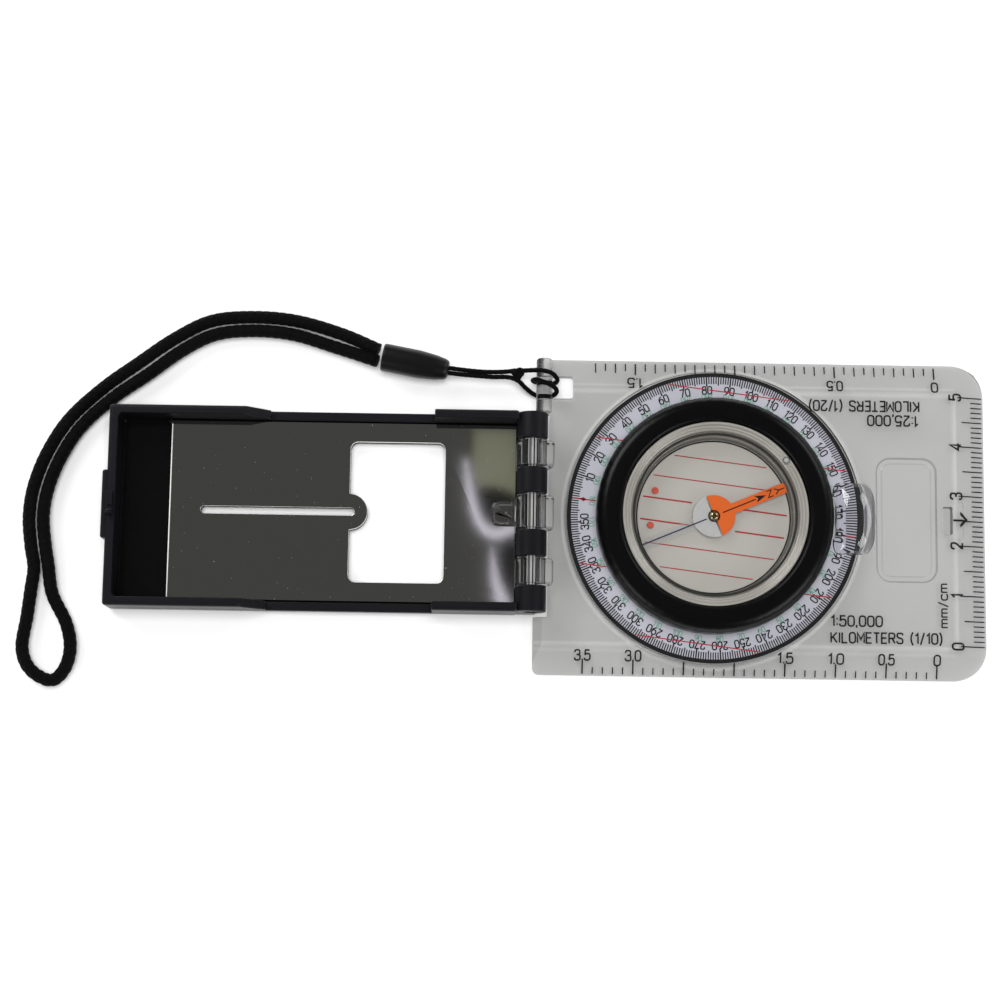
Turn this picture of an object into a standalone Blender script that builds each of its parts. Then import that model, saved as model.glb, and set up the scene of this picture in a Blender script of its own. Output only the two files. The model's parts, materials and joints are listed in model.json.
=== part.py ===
# Mirror sighting compass, lying open and flat.
# Metres, +Z up. The cover lies towards -X, the base plate towards +X, and both rest on z = 0.
# The origin is under the middle of the bounding box of the opened compass, lanyard left out.
import math

import bmesh
import bpy
from mathutils import Matrix, Vector

# ---- driving dimensions ----
gap = 0.0003                     # running and bonding gap between neighbouring pieces
centre_y = 0.0                   # line through the latch, the dial, the hinge and the mirror slot

hinge_x = -0.00295
hinge_z = 0.0060
barrel_radius = 0.00305
pin_radius = 0.0011
end_knuckle = 0.0055             # pitch of the three knuckles either side of the middle one
middle_knuckle = 0.0070

plate_right = 0.08755
plate_left = -0.0024
plate_half_width = 0.03175
plate_height = 0.0030
plate_edge_height = 0.0012       # height left at the rim of the sloping ruler border
plate_border = 0.0062
plate_corner = 0.0067

dial_x = hinge_x + 0.0362
ring_radius = 0.0292
recess_radius = 0.0296
recess_floor = 0.0015
ring_bottom = 0.0018
bezel_inner = 0.0186
bezel_outer = 0.0235
bezel_top = 0.0090
cup_radius = 0.0183
cup_rim_top = 0.0083
boss_radius = 0.0167
cavity_radius = 0.0158
lens_seat = 0.0166
lens_radius = 0.0163
orienting_radius = 0.0155
retainer_top = 0.0006

cover_left = -0.08755
tray_end = -0.08665
tray_right = -0.0055
tray_half_width = 0.0200
tray_floor = 0.0010
tray_wall = 0.0018
tall_wall_top = 0.0087
low_wall_top = 0.0026
low_near = hinge_x - 0.0194      # the low walls clear the bezel when the cover is shut
low_far = hinge_x - 0.0522

mirror_far = hinge_x - 0.0718
mirror_near = -0.0060
mirror_bottom = 0.0018
mirror_top = 0.0026
window_near = hinge_x - 0.0173
window_far = hinge_x - 0.0362
window_half_height = 0.0141
lobe_radius = 0.0036
slot_far = -0.0688
slot_half_width = 0.0008
tongue_far = -0.0109
tongue_near = -0.0059

needle_angle = math.radians(22.9)
needle_length = 0.0154
needle_bottom = 0.0042
needle_top = 0.0044
hub_radius = 0.0042
cap_hole_radius = 0.0012
magnet_half_length = 0.0038

lug_x = -0.0007
lug_radius = 0.0016
lug_z = 0.0030
lug_end = 0.0205
lug_slot = (0.0235, 0.0282)      # the part of the lug that the tether goes round
lug_slot_reach = 0.0051

cord_radius = 0.0013
tether_radius = 0.00048

# ---- lanyard routes, in the order in which the cord runs ----
wrist_route = [
    (-0.0342, 0.0306, 0.0026), (-0.0426, 0.0334, 0.0018), (-0.0512, 0.0359, 0.0018),
    (-0.0592, 0.0366, 0.0018), (-0.0670, 0.0357, 0.0018), (-0.0735, 0.0324, 0.0018),
    (-0.0805, 0.0272, 0.0018), (-0.0875, 0.0221, 0.0018), (-0.0935, 0.0162, 0.0018),
    (-0.0972, 0.0100, 0.0018), (-0.0994, 0.0038, 0.0018), (-0.1001, -0.0018, 0.0018),
    (-0.0995, -0.0072, 0.0018), (-0.0987, -0.0115, 0.0018), (-0.0976, -0.0173, 0.0018),
    (-0.0946, -0.0231, 0.0018), (-0.0936, -0.0280, 0.0018), (-0.0946, -0.0322, 0.0018),
    (-0.0972, -0.0344, 0.0018), (-0.1013, -0.0323, 0.0018), (-0.1031, -0.0281, 0.0018),
    (-0.1024, -0.0218, 0.0018), (-0.1019, -0.0166, 0.0018), (-0.1015, -0.0121, 0.0018),
    (-0.1023, -0.0076, 0.0018), (-0.1029, -0.0018, 0.0018), (-0.1022, 0.0044, 0.0018),
    (-0.0998, 0.0112, 0.0018), (-0.0957, 0.0180, 0.0018), (-0.0893, 0.0243, 0.0018),
    (-0.0823, 0.0296, 0.0018), (-0.0751, 0.0348, 0.0018), (-0.0678, 0.0385, 0.0018),
    (-0.0592, 0.0394, 0.0018), (-0.0506, 0.0387, 0.0018), (-0.0416, 0.0362, 0.0018),
    (-0.0340, 0.0329, 0.0026)]
tether_route = [
    (-0.0193, 0.0288, 0.0030), (-0.0156, 0.0284, 0.0029), (-0.0120, 0.0281, 0.0028),
    (-0.0081, 0.0283, 0.0030)]
loop_route = [
    (-0.0042, 0.0282, 0.0037), (-0.0025, 0.0280, 0.0048), (-0.0007, 0.0276, 0.0054),
    (0.0011, 0.0271, 0.0048), (0.0018, 0.0263, 0.0030), (0.0011, 0.0254, 0.0012),
    (-0.0007, 0.0247, 0.0006), (-0.0028, 0.0247, 0.0013), (-0.0046, 0.0262, 0.0025)]
sleeve_start = (-0.0333, 0.0314, 0.0030)
sleeve_end = (-0.0200, 0.0289, 0.0030)
sleeve_radius = 0.0028
knot_centre = (-0.0061, 0.0284, 0.0031)
knot_radius = 0.0015

clear_colour = (0.86, 0.87, 0.86)
black_colour = (0.030, 0.030, 0.034)


def clear_scene():
    for item in list(bpy.data.objects):
        bpy.data.objects.remove(item, do_unlink=True)


def make_collection(name):
    collection = bpy.data.collections.new(name)
    bpy.context.scene.collection.children.link(collection)
    return collection


clear_scene()
parts = make_collection("sighting_compass")
cutters = make_collection("cutters")


# ---- helpers ----
def make_material(name, colour, roughness, metallic=0.0, alpha=1.0):
    material = bpy.data.materials.new(name)
    material.use_nodes = True
    shader = material.node_tree.nodes["Principled BSDF"]
    shader.inputs["Base Color"].default_value = (*colour, 1.0)
    shader.inputs["Roughness"].default_value = roughness
    shader.inputs["Metallic"].default_value = metallic
    shader.inputs["Alpha"].default_value = alpha
    return material


def file_in(item, collection):
    for other in list(item.users_collection):
        other.objects.unlink(item)
    collection.objects.link(item)


def finish_part(item, name, colour, roughness, metallic=0.0, parent=None, alpha=1.0):
    """Name a piece, give it its own material and hang it from its joint's empty."""
    item.name = name
    item.data.name = name
    file_in(item, parts)
    item.data.materials.clear()
    item.data.materials.append(make_material(name, colour, roughness, metallic, alpha))
    if item.type == "MESH":
        item.data.shade_smooth()
        item.data.set_sharp_from_angle(angle=math.radians(35))
    if parent:
        item.parent = parent
        item.matrix_parent_inverse = Matrix.Translation(-parent.location)
    return item


def make_cutter(item):
    item.display_type = "WIRE"
    item.hide_render = True
    file_in(item, cutters)
    return item


def combine(item, other, operation="DIFFERENCE"):
    modifier = item.modifiers.new(operation.title(), "BOOLEAN")
    modifier.object = make_cutter(other)
    modifier.operation = operation
    modifier.solver = "EXACT"
    return item


def set_bevel(item, width, segments=2, angle=35):
    modifier = item.modifiers.new("Bevel", "BEVEL")
    modifier.width = width
    modifier.segments = segments
    modifier.limit_method = "ANGLE"
    modifier.angle_limit = math.radians(angle)
    return item


def new_object(name, mesh):
    item = bpy.data.objects.new(name, mesh)
    bpy.context.scene.collection.objects.link(item)
    return item


def box(x_range, y_range, z_range):
    """A box between two X, two Y and two Z values."""
    size = Vector([high - low for low, high in (x_range, y_range, z_range)])
    middle = Vector([(high + low) / 2 for low, high in (x_range, y_range, z_range)])
    frame = bmesh.new()
    bmesh.ops.create_cube(frame, size=1.0, matrix=Matrix.Translation(middle) @ Matrix.Diagonal((*size, 1.0)))
    mesh = bpy.data.meshes.new("box")
    frame.to_mesh(mesh)
    frame.free()
    return new_object("box", mesh)


def cylinder(radius, length, centre, axis="Z", sides=32, top_radius=None):
    """A cylinder or cone with its middle at centre."""
    turn = {"Z": Matrix.Identity(4), "Y": Matrix.Rotation(math.radians(-90), 4, "X"),
            "X": Matrix.Rotation(math.radians(90), 4, "Y")}[axis]
    frame = bmesh.new()
    bmesh.ops.create_cone(
        frame, cap_ends=True, segments=sides, radius1=radius,
        radius2=radius if top_radius is None else top_radius, depth=length,
        matrix=Matrix.Translation(centre) @ turn)
    mesh = bpy.data.meshes.new("cylinder")
    frame.to_mesh(mesh)
    frame.free()
    return new_object("cylinder", mesh)


def turned(profile, centre, steps=64):
    """A solid turned about Z from a closed (radius, height) profile, listed down its outer side first."""
    mesh = bpy.data.meshes.new("turned")
    edges = [(index, (index + 1) % len(profile)) for index in range(len(profile))]
    if profile[0][0] == 0.0:
        edges = edges[:-1]
    mesh.from_pydata([(radius, 0.0, height) for radius, height in profile], edges, [])
    item = new_object("turned", mesh)
    item.location = centre
    screw = item.modifiers.new("Screw", "SCREW")
    screw.steps = steps
    screw.render_steps = steps
    screw.use_merge_vertices = True
    screw.merge_threshold = 0.00001
    return item


def flat_shape(outline, bottom, top):
    """A flat closed outline made into a plate between two heights."""
    curve = bpy.data.curves.new("outline", "CURVE")
    curve.dimensions = "2D"
    curve.fill_mode = "BOTH"
    curve.extrude = (top - bottom) / 2
    spline = curve.splines.new("POLY")
    spline.points.add(len(outline) - 1)
    for point, (x, y) in zip(spline.points, outline):
        point.co = (x, y, 0.0, 1.0)
    spline.use_cyclic_u = True
    item = new_object("outline", curve)
    item.location = (0.0, 0.0, (top + bottom) / 2)
    return as_mesh(item)


def as_mesh(item):
    """Turn a curve object into a closed mesh object, so that it can be cut."""
    bpy.context.view_layer.update()
    evaluated = item.evaluated_get(bpy.context.evaluated_depsgraph_get())
    mesh = bpy.data.meshes.new_from_object(evaluated)
    frame = bmesh.new()
    frame.from_mesh(mesh)
    bmesh.ops.remove_doubles(frame, verts=frame.verts, dist=0.000002)
    frame.to_mesh(mesh)
    frame.free()
    solid = new_object(item.name, mesh)
    solid.matrix_world = item.matrix_world.copy()
    bpy.data.objects.remove(item, do_unlink=True)
    return solid


def arc(centre, radius, start, end, steps):
    """Points on an arc, with its angles in degrees."""
    angles = [math.radians(start + (end - start) * step / steps) for step in range(steps + 1)]
    return [(centre[0] + radius * math.cos(angle), centre[1] + radius * math.sin(angle)) for angle in angles]


def rounded_rectangle(x_range, y_range, radius, steps=4):
    (left, right), (low, high) = x_range, y_range
    corners = [(right - radius, high - radius, 0), (left + radius, high - radius, 90),
               (left + radius, low + radius, 180), (right - radius, low + radius, 270)]
    return [point for x, y, start in corners for point in arc((x, y), radius, start, start + 90, steps)]


def smooth_points(route, spacing):
    """Points about one spacing apart on the Catmull-Rom curve through a route."""
    ends = [Vector(route[0]) * 2 - Vector(route[1])], [Vector(route[-1]) * 2 - Vector(route[-2])]
    stops = ends[0] + [Vector(point) for point in route] + ends[1]
    points = []
    for before, start, end, after in zip(stops, stops[1:], stops[2:], stops[3:]):
        count = max(1, round((end - start).length / spacing))
        for step in range(count):
            t = step / count
            points.append(0.5 * (2 * start + (end - before) * t + (2 * before - 5 * start + 4 * end - after) * t ** 2
                                 + (3 * start - before - 3 * end + after) * t ** 3))
    return points + [stops[-2]]


def cord(route, radius, spacing):
    """A tube along the smooth curve through a route."""
    curve = bpy.data.curves.new("cord", "CURVE")
    curve.dimensions = "3D"
    curve.bevel_depth = radius
    curve.bevel_resolution = 2
    curve.use_fill_caps = True
    spline = curve.splines.new("POLY")
    points = smooth_points(route, spacing)
    spline.points.add(len(points) - 1)
    for point, place in zip(spline.points, points):
        point.co = (*place, 1.0)
    return new_object("cord", curve)


def joint_empty(name, location):
    empty = bpy.data.objects.new(name, None)
    empty.empty_display_size = 0.005
    empty.location = location
    parts.objects.link(empty)
    return empty


def knuckle_spans():
    """The seven knuckles from +Y to -Y, each as (low, high)."""
    lengths = [end_knuckle] * 3 + [middle_knuckle] + [end_knuckle] * 3
    high = centre_y + sum(lengths) / 2
    spans = []
    for length in lengths:
        spans.append((high - length + gap / 2, high - gap / 2))
        high -= length
    return spans


def barrel(span, sides=24):
    return cylinder(barrel_radius, span[1] - span[0], (hinge_x, sum(span) / 2, hinge_z), "Y", sides)


# ---- base ----
def border_wedge(turn, middle, reach):
    """A cutter for one sloping border, on the side of the plate that turn points to."""
    slope = math.atan2(plate_height - plate_edge_height, plate_border)
    item = box((-reach, reach), (-plate_border, 0.01), (0.0, 0.01))
    item.matrix_world = (Matrix.Translation((*middle, plate_height)) @ Matrix.Rotation(turn, 4, "Z")
                         @ Matrix.Translation((0.0, -plate_border, 0.0)) @ Matrix.Rotation(-slope, 4, "X")
                         @ Matrix.Translation((0.0, plate_border, 0.0)))
    return item


def plate_blank():
    """The plate with rounded right corners, before its borders are sloped."""
    item = box((plate_left, plate_right), (-plate_half_width, plate_half_width), (0.0, plate_height))
    frame = bmesh.new()
    frame.from_mesh(item.data)
    corners = [edge for edge in frame.edges
               if all(vert.co.x > 0 for vert in edge.verts) and edge.verts[0].co.y == edge.verts[1].co.y
               and edge.verts[0].co.z != edge.verts[1].co.z]
    bmesh.ops.bevel(frame, geom=corners, offset=plate_corner, segments=8, profile=0.5, affect="EDGES")
    frame.to_mesh(item.data)
    frame.free()
    return item


def make_base_plate():
    item = plate_blank()
    spans = knuckle_spans()
    notch = (spans[-1][0] - 2 * gap, spans[0][1] + 2 * gap)
    combine(item, box((-0.01, hinge_x + barrel_radius + gap), notch, (-0.01, 0.01)))
    combine(item, box((-0.011, lug_slot_reach), lug_slot, (-0.011, 0.011)))
    combine(item, box((-0.012, lug_x), (lug_end - gap, 0.05), (-0.012, 0.012)))
    combine(item, border_wedge(0.0, (0.05, plate_half_width), 0.0501))
    combine(item, border_wedge(math.pi, (0.04, -plate_half_width), 0.0603))
    combine(item, border_wedge(-math.pi / 2, (plate_right, 0.0), 0.0402))
    lug_top = plate_half_width - 0.0002
    lug = cylinder(lug_radius, lug_top - lug_end, (lug_x, (lug_top + lug_end) / 2, lug_z), "Y", 20)
    combine(item, lug, "UNION")
    for span in spans[1::2]:
        arm = box((hinge_x + 0.0008, hinge_x + 0.0062), span, (0.0004, hinge_z + 0.0012))
        set_bevel(arm, 0.0008)
        combine(item, arm, "UNION")
        combine(item, barrel(span), "UNION")
    combine(item, cylinder(pin_radius + gap, 0.05, (hinge_x, centre_y, hinge_z), "Y", 20))
    centre = (dial_x, centre_y)
    combine(item, cylinder(recess_radius, 0.01, (*centre, recess_floor + 0.005), sides=64))
    combine(item, cylinder(0.0170, 0.01, (*centre, 0.0), sides=48))
    combine(item, cylinder(0.0190, 0.0018, (*centre, 0.0), sides=48))
    pocket = rounded_rectangle((0.0655, 0.0778), (centre_y - 0.0126, centre_y + 0.0126), 0.0030)
    combine(item, flat_shape(pocket, plate_height - 0.0005, 0.01))
    combine(item, box((0.0789, 0.0808), (centre_y - 0.0028, centre_y + 0.0028), (-0.01, 0.01)))
    finish_part(item, "base_plate", clear_colour, 0.05, alpha=0.3)


def make_dial_magnifier():
    item = box((dial_x + bezel_outer + gap, dial_x + 0.0322), (centre_y - 0.0072, centre_y + 0.0072),
               (plate_height + gap, 0.0066))
    set_bevel(item, 0.0016, 4)
    finish_part(item, "dial_magnifier", clear_colour, 0.03, alpha=0.3)


def make_hinge_pin():
    spans = knuckle_spans()
    length = spans[0][1] - spans[-1][0] - 0.0004
    item = cylinder(pin_radius, length, (hinge_x, centre_y, hinge_z), "Y", 20)
    finish_part(item, "hinge_pin", (0.62, 0.61, 0.58), 0.22, 1.0)


# ---- cover ----
def wall_box(side, x_range, height):
    inner = tray_half_width - tray_wall
    low, high = sorted((centre_y + side * inner, centre_y + side * tray_half_width))
    return box(x_range, (low, high), (0.0, height))


def window_outline(margin=0.0):
    """The sighting window with its half-round lobe, grown by a margin."""
    left, right = window_far - margin, window_near + margin
    low, high = centre_y - window_half_height - margin, centre_y + window_half_height + margin
    corners = rounded_rectangle((left, right), (low, high), 0.0015)
    upper, lower = corners[:10], corners[10:]
    lobe = arc((window_far, centre_y), lobe_radius - margin, 90, -90, 8)
    return upper + [(left, point[1]) if point[0] < left else point for point in lobe] + lower


def slot_outline(margin=0.0):
    half = slot_half_width + margin
    far = arc((slot_far + slot_half_width, centre_y), half, 90, 270, 6)
    near = arc((window_far + 0.0002, centre_y), half, -90, 90, 6)
    return far + near


def make_cover_tray():
    inner = tray_half_width - tray_wall
    item = box((tray_end, tray_right), (centre_y - tray_half_width, centre_y + tray_half_width), (0.0, tall_wall_top))
    combine(item, box((tray_end + tray_wall, 0.0), (centre_y - inner, centre_y + inner), (tray_floor, 0.02)))
    combine(item, box((low_far, low_near), (-0.05, 0.05), (low_wall_top, 0.02)))
    for side in (-1, 1):
        chamfer = box((-0.004, 0.004), (-0.006, 0.006), (-0.004, 0.004))
        chamfer.location = (low_far, centre_y + side * tray_half_width, tall_wall_top + 0.0008)
        chamfer.rotation_euler = (0.0, math.radians(45), 0.0)
        combine(item, chamfer)
    bump = box((cover_left, tray_end + 0.0004), (centre_y - 0.0068, centre_y + 0.0068), (0.0, tall_wall_top))
    combine(item, set_bevel(bump, 0.0005, 1), "UNION")
    hook = box((tray_end + 0.0003, tray_end + 0.0016), (centre_y - 0.0022, centre_y + 0.0022), (0.0020, 0.0109))
    combine(item, hook, "UNION")
    for span in knuckle_spans()[0::2]:
        arm = box((tray_right - 0.0002, hinge_x + 0.0010), span, (0.0, hinge_z - 0.0015))
        combine(item, arm, "UNION")
        combine(item, barrel(span), "UNION")
    combine(item, cylinder(pin_radius + gap, 0.05, (hinge_x, centre_y, hinge_z), "Y", 20))
    combine(item, flat_shape(window_outline(), -0.01, 0.01))
    combine(item, flat_shape(slot_outline(), -0.01, 0.01))
    finish_part(item, "cover_tray", black_colour, 0.45, parent=hinge_empty)


def cover_sheet(name, inset, z_range, colour, roughness, metallic, margin):
    """A sheet on the tray's floor with the window and the slot cut through."""
    half = tray_half_width - tray_wall - gap - inset
    item = box((mirror_far + inset, mirror_near - inset), (centre_y - half, centre_y + half), z_range)
    combine(item, flat_shape(window_outline(margin), -0.01, 0.01))
    combine(item, flat_shape(slot_outline(margin), -0.01, 0.01))
    return finish_part(item, name, colour, roughness, metallic, hinge_empty)


def make_mirror():
    cover_sheet("mirror_tape", 0.0010, (tray_floor + gap, mirror_bottom - gap), (0.75, 0.75, 0.72), 0.7, 0.0, 0.0006)
    cover_sheet("mirror", 0.0, (mirror_bottom, mirror_top), (0.80, 0.81, 0.79), 0.03, 1.0, 0.0)


def make_friction_tongue():
    outline = rounded_rectangle((tongue_far, tongue_near), (centre_y - 0.0024, centre_y + 0.0024), 0.0014)
    item = flat_shape(outline, mirror_top + gap, mirror_top + 0.0013)
    finish_part(item, "hinge_friction_tongue", clear_colour, 0.05, parent=hinge_empty, alpha=0.3)


# ---- dial ----
def dial_part(name, profile, colour, roughness, metallic=0.0, steps=64, alpha=1.0, parent=None):
    item = turned(profile, (dial_x, centre_y, 0.0), steps)
    return finish_part(item, name, colour, roughness, metallic, parent or dial_empty, alpha)


def tube_profile(inner, outer, bottom, top):
    return [(outer, top), (outer, bottom), (inner, bottom), (inner, top)]


def disc_profile(radius, bottom, top):
    return [(0.0, top), (radius, top), (radius, bottom), (0.0, bottom)]


def make_dial():
    ring_inner = cup_radius + gap
    dial_part("dial_ring", tube_profile(ring_inner, ring_radius, ring_bottom, plate_height), (0.76, 0.76, 0.80), 0.4)
    shoulder = arc((bezel_outer - 0.0022, bezel_top - 0.0022), 0.0022, 90, 0, 4)
    inner = arc((bezel_inner + 0.0008, bezel_top - 0.0008), 0.0008, 180, 90, 2)
    grip = shoulder + [(bezel_outer, plate_height + gap), (bezel_inner, plate_height + gap)] + inner
    dial_part("bezel_grip", grip, (0.012, 0.012, 0.013), 0.35)
    cup = [(cup_radius, cup_rim_top), (cup_radius, ring_bottom), (boss_radius, ring_bottom),
           (boss_radius, 0.0009), (0.0, 0.0009), (0.0, 0.0022), (cavity_radius, 0.0022), (cavity_radius, 0.0052),
           (lens_seat, 0.0052), (lens_seat, cup_rim_top)]
    cup_item = dial_part("capsule_cup", closed_at_axis(cup), clear_colour, 0.05, alpha=0.3)
    combine(cup_item, cylinder(0.0008, 0.0016, plug_centre(cup_rim_top), sides=12))
    dial_part("capsule_lens", disc_profile(lens_radius, 0.0055, 0.0063), clear_colour, 0.02, alpha=0.3)
    dial_part("capsule_gasket", tube_profile(lens_radius - 0.0005, lens_radius, 0.0066, 0.0071), (0.05, 0.05, 0.045), 0.6)
    dial_part("orienting_disc", disc_profile(orienting_radius, 0.0025, 0.0029), (0.52, 0.50, 0.46), 0.5)
    dial_part("dial_retainer", tube_profile(0.0145, 0.0186, 0.0001, retainer_top), (0.70, 0.70, 0.70), 0.3)


def closed_at_axis(profile):
    """Start a profile at its point on the axis, so that it isn't closed along the axis."""
    start = [index for index, point in enumerate(profile) if point[0] == 0.0][-1]
    return profile[start:] + profile[:start]


def plug_centre(height):
    angle = math.radians(37.8)
    radius = 0.01745
    return (dial_x + radius * math.cos(angle), centre_y + radius * math.sin(angle), height)


def make_dial_fittings():
    plug = cylinder(0.0005, 0.0012, plug_centre(cup_rim_top + 0.0001), sides=12)
    finish_part(plug, "fill_plug", (0.3, 0.3, 0.3), 0.4, parent=dial_empty)
    dial_turn = math.radians(172.4)
    for number, offset in enumerate((0.0035, -0.0035), 1):
        spot = Matrix.Rotation(dial_turn, 2) @ Vector((0.0122, offset))
        dot = cylinder(0.0007, 0.0002, (dial_x + spot.x, centre_y + spot.y, 0.0033), sides=16)
        finish_part(dot, f"luminous_dot_{number}", (0.52, 0.10, 0.06), 0.5, parent=dial_empty)
    post = [(0.0, 0.0032), (0.0008, 0.0032), (0.0008, 0.00335), (0.0003, 0.0035), (0.0003, 0.0043), (0.0, 0.0046)]
    dial_part("pivot_post", list(reversed(post)), (0.65, 0.63, 0.58), 0.2, 1.0, 16)


# ---- needle ----
def needle_half(direction):
    """One half of the needle's flat blade, which points along its own +X."""
    arm_half = 0.00105
    edge = gap / 2
    spread = math.degrees(math.asin(arm_half / hub_radius))
    start = math.degrees(math.asin(edge / hub_radius))
    tip = [(needle_length - 0.0012, -arm_half), (needle_length, 0.0), (needle_length - 0.0012, arm_half)]
    inner_start = math.degrees(math.asin(edge / cap_hole_radius))
    outline = (arc((0, 0), hub_radius, -90 + start, -spread, 6) + tip + arc((0, 0), hub_radius, spread, 90 - start, 6)
               + arc((0, 0), cap_hole_radius, 90 - inner_start, -90 + inner_start, 8))
    item = flat_shape(outline, needle_bottom, needle_top)
    item.matrix_world = (Matrix.Translation((dial_x, centre_y, 0.0)) @ Matrix.Rotation(needle_angle + direction, 4, "Z")
                         @ item.matrix_world)
    return item


def make_needle():
    finish_part(needle_half(0.0), "needle_north_arm", (0.66, 0.13, 0.02), 0.4, parent=needle_empty)
    finish_part(needle_half(math.pi), "needle_south_arm", (0.80, 0.80, 0.80), 0.2, parent=needle_empty)
    magnet = box((-magnet_half_length, magnet_half_length), (-0.0014, 0.0014), (0.0034, 0.0038))
    magnet.matrix_world = Matrix.Translation((dial_x, centre_y, 0.0)) @ Matrix.Rotation(needle_angle, 4, "Z")
    combine(magnet, cylinder(0.0010, 0.01, (dial_x, centre_y, 0.0036), sides=16))
    finish_part(magnet, "needle_magnet", (0.20, 0.20, 0.21), 0.35, 1.0, needle_empty)
    cap = [(0.0, 0.0052), (0.0005, 0.0052), (0.0009, 0.0048), (0.0009, 0.0041), (0.0006, 0.0041),
           (0.0006, 0.0049), (0.0, 0.0049)]
    dial_part("jewel_cap", cap, (0.42, 0.34, 0.18), 0.25, 1.0, 20, parent=needle_empty)


# ---- lanyard ----
def make_lanyard():
    finish_part(cord(wrist_route, cord_radius, 0.0052), "wrist_cord", (0.006, 0.006, 0.007), 0.8)
    start, end = Vector(sleeve_start), Vector(sleeve_end)
    sleeve = cylinder(sleeve_radius, (end - start).length, (0, 0, 0), "X", 20, top_radius=0.0020)
    sleeve.location = (start + end) / 2
    sleeve.rotation_euler = (0.0, 0.0, math.atan2(end.y - start.y, end.x - start.x))
    finish_part(set_bevel(sleeve, 0.0004), "cord_sleeve", (0.010, 0.010, 0.011), 0.5)
    finish_part(cord(tether_route, 0.00095, 0.0022), "tether_cord", (0.006, 0.006, 0.007), 0.8)
    finish_part(cord(loop_route, tether_radius, 0.0012), "tether_loop", (0.006, 0.006, 0.007), 0.8)
    frame = bmesh.new()
    bmesh.ops.create_uvsphere(frame, u_segments=12, v_segments=8, radius=knot_radius,
                              matrix=Matrix.Translation(knot_centre) @ Matrix.Diagonal((1.0, 1.1, 1.0, 1.0)))
    mesh = bpy.data.meshes.new("knot")
    frame.to_mesh(mesh)
    frame.free()
    finish_part(new_object("knot", mesh), "tether_knot", (0.006, 0.006, 0.007), 0.8)


hinge_empty = joint_empty("hinge_axis", (hinge_x, centre_y, hinge_z))
dial_empty = joint_empty("dial_axis", (dial_x, centre_y, 0.0))
needle_empty = joint_empty("needle_axis", (dial_x, centre_y, needle_bottom))

make_base_plate()
make_dial_magnifier()
make_hinge_pin()
make_cover_tray()
make_mirror()
make_friction_tongue()
make_dial()
make_dial_fittings()
make_needle()
make_lanyard()
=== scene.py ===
import json
from math import asin, atan2, cos, degrees, pi, radians, sin, sqrt

import bmesh
import bpy
from mathutils import Matrix, Vector


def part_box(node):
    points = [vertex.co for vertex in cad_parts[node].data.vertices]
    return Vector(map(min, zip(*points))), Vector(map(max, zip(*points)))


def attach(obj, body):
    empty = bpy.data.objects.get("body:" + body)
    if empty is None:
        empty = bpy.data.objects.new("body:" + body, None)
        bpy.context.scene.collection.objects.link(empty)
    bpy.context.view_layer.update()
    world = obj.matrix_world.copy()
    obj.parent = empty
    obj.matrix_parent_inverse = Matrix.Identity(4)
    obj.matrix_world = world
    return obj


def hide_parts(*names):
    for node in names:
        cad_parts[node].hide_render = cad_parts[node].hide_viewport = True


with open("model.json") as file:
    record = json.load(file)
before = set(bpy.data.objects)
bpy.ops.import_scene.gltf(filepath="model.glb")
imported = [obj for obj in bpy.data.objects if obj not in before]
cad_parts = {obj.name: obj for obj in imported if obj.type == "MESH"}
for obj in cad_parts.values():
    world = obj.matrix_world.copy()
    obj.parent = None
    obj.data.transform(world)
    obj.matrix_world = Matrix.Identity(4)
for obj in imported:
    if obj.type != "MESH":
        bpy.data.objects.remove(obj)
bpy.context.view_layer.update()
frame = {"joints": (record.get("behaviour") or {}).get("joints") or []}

# places that come from the frame
joints = {joint["name"]: joint for joint in frame["joints"]}
hingeX, centreY, hingeZ = joints["cover_hinge"]["pos_m"]
dialX = joints["dial_turn"]["pos_m"][0]
plateLow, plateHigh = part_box("base_plate")
trayLow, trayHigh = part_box("cover_tray")
mirrorLow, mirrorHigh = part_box("mirror")
ringLow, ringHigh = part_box("dial_ring")
plateTop = ringHigh.z


class Wire:  # one output socket, which sums and products can be written with
    def __init__(self, finish, socket):
        self.finish = finish
        self.socket = socket

    def sum(self, operation, first, second):
        return self.finish.node("ShaderNodeMath", {"operation": operation}, {0: first, 1: second})

    def __add__(self, other):
        return self.sum("ADD", self, other)

    def __radd__(self, other):
        return self.sum("ADD", other, self)

    def __sub__(self, other):
        return self.sum("SUBTRACT", self, other)

    def __rsub__(self, other):
        return self.sum("SUBTRACT", other, self)

    def __mul__(self, other):
        return self.sum("MULTIPLY", self, other)

    def __rmul__(self, other):
        return self.sum("MULTIPLY", other, self)

    def __pow__(self, other):
        return self.sum("POWER", self, other)

    def __rpow__(self, other):
        return self.sum("POWER", other, self)

    def __gt__(self, other):
        return self.sum("GREATER_THAN", self, other)

    def __lt__(self, other):
        return self.sum("LESS_THAN", self, other)


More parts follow.
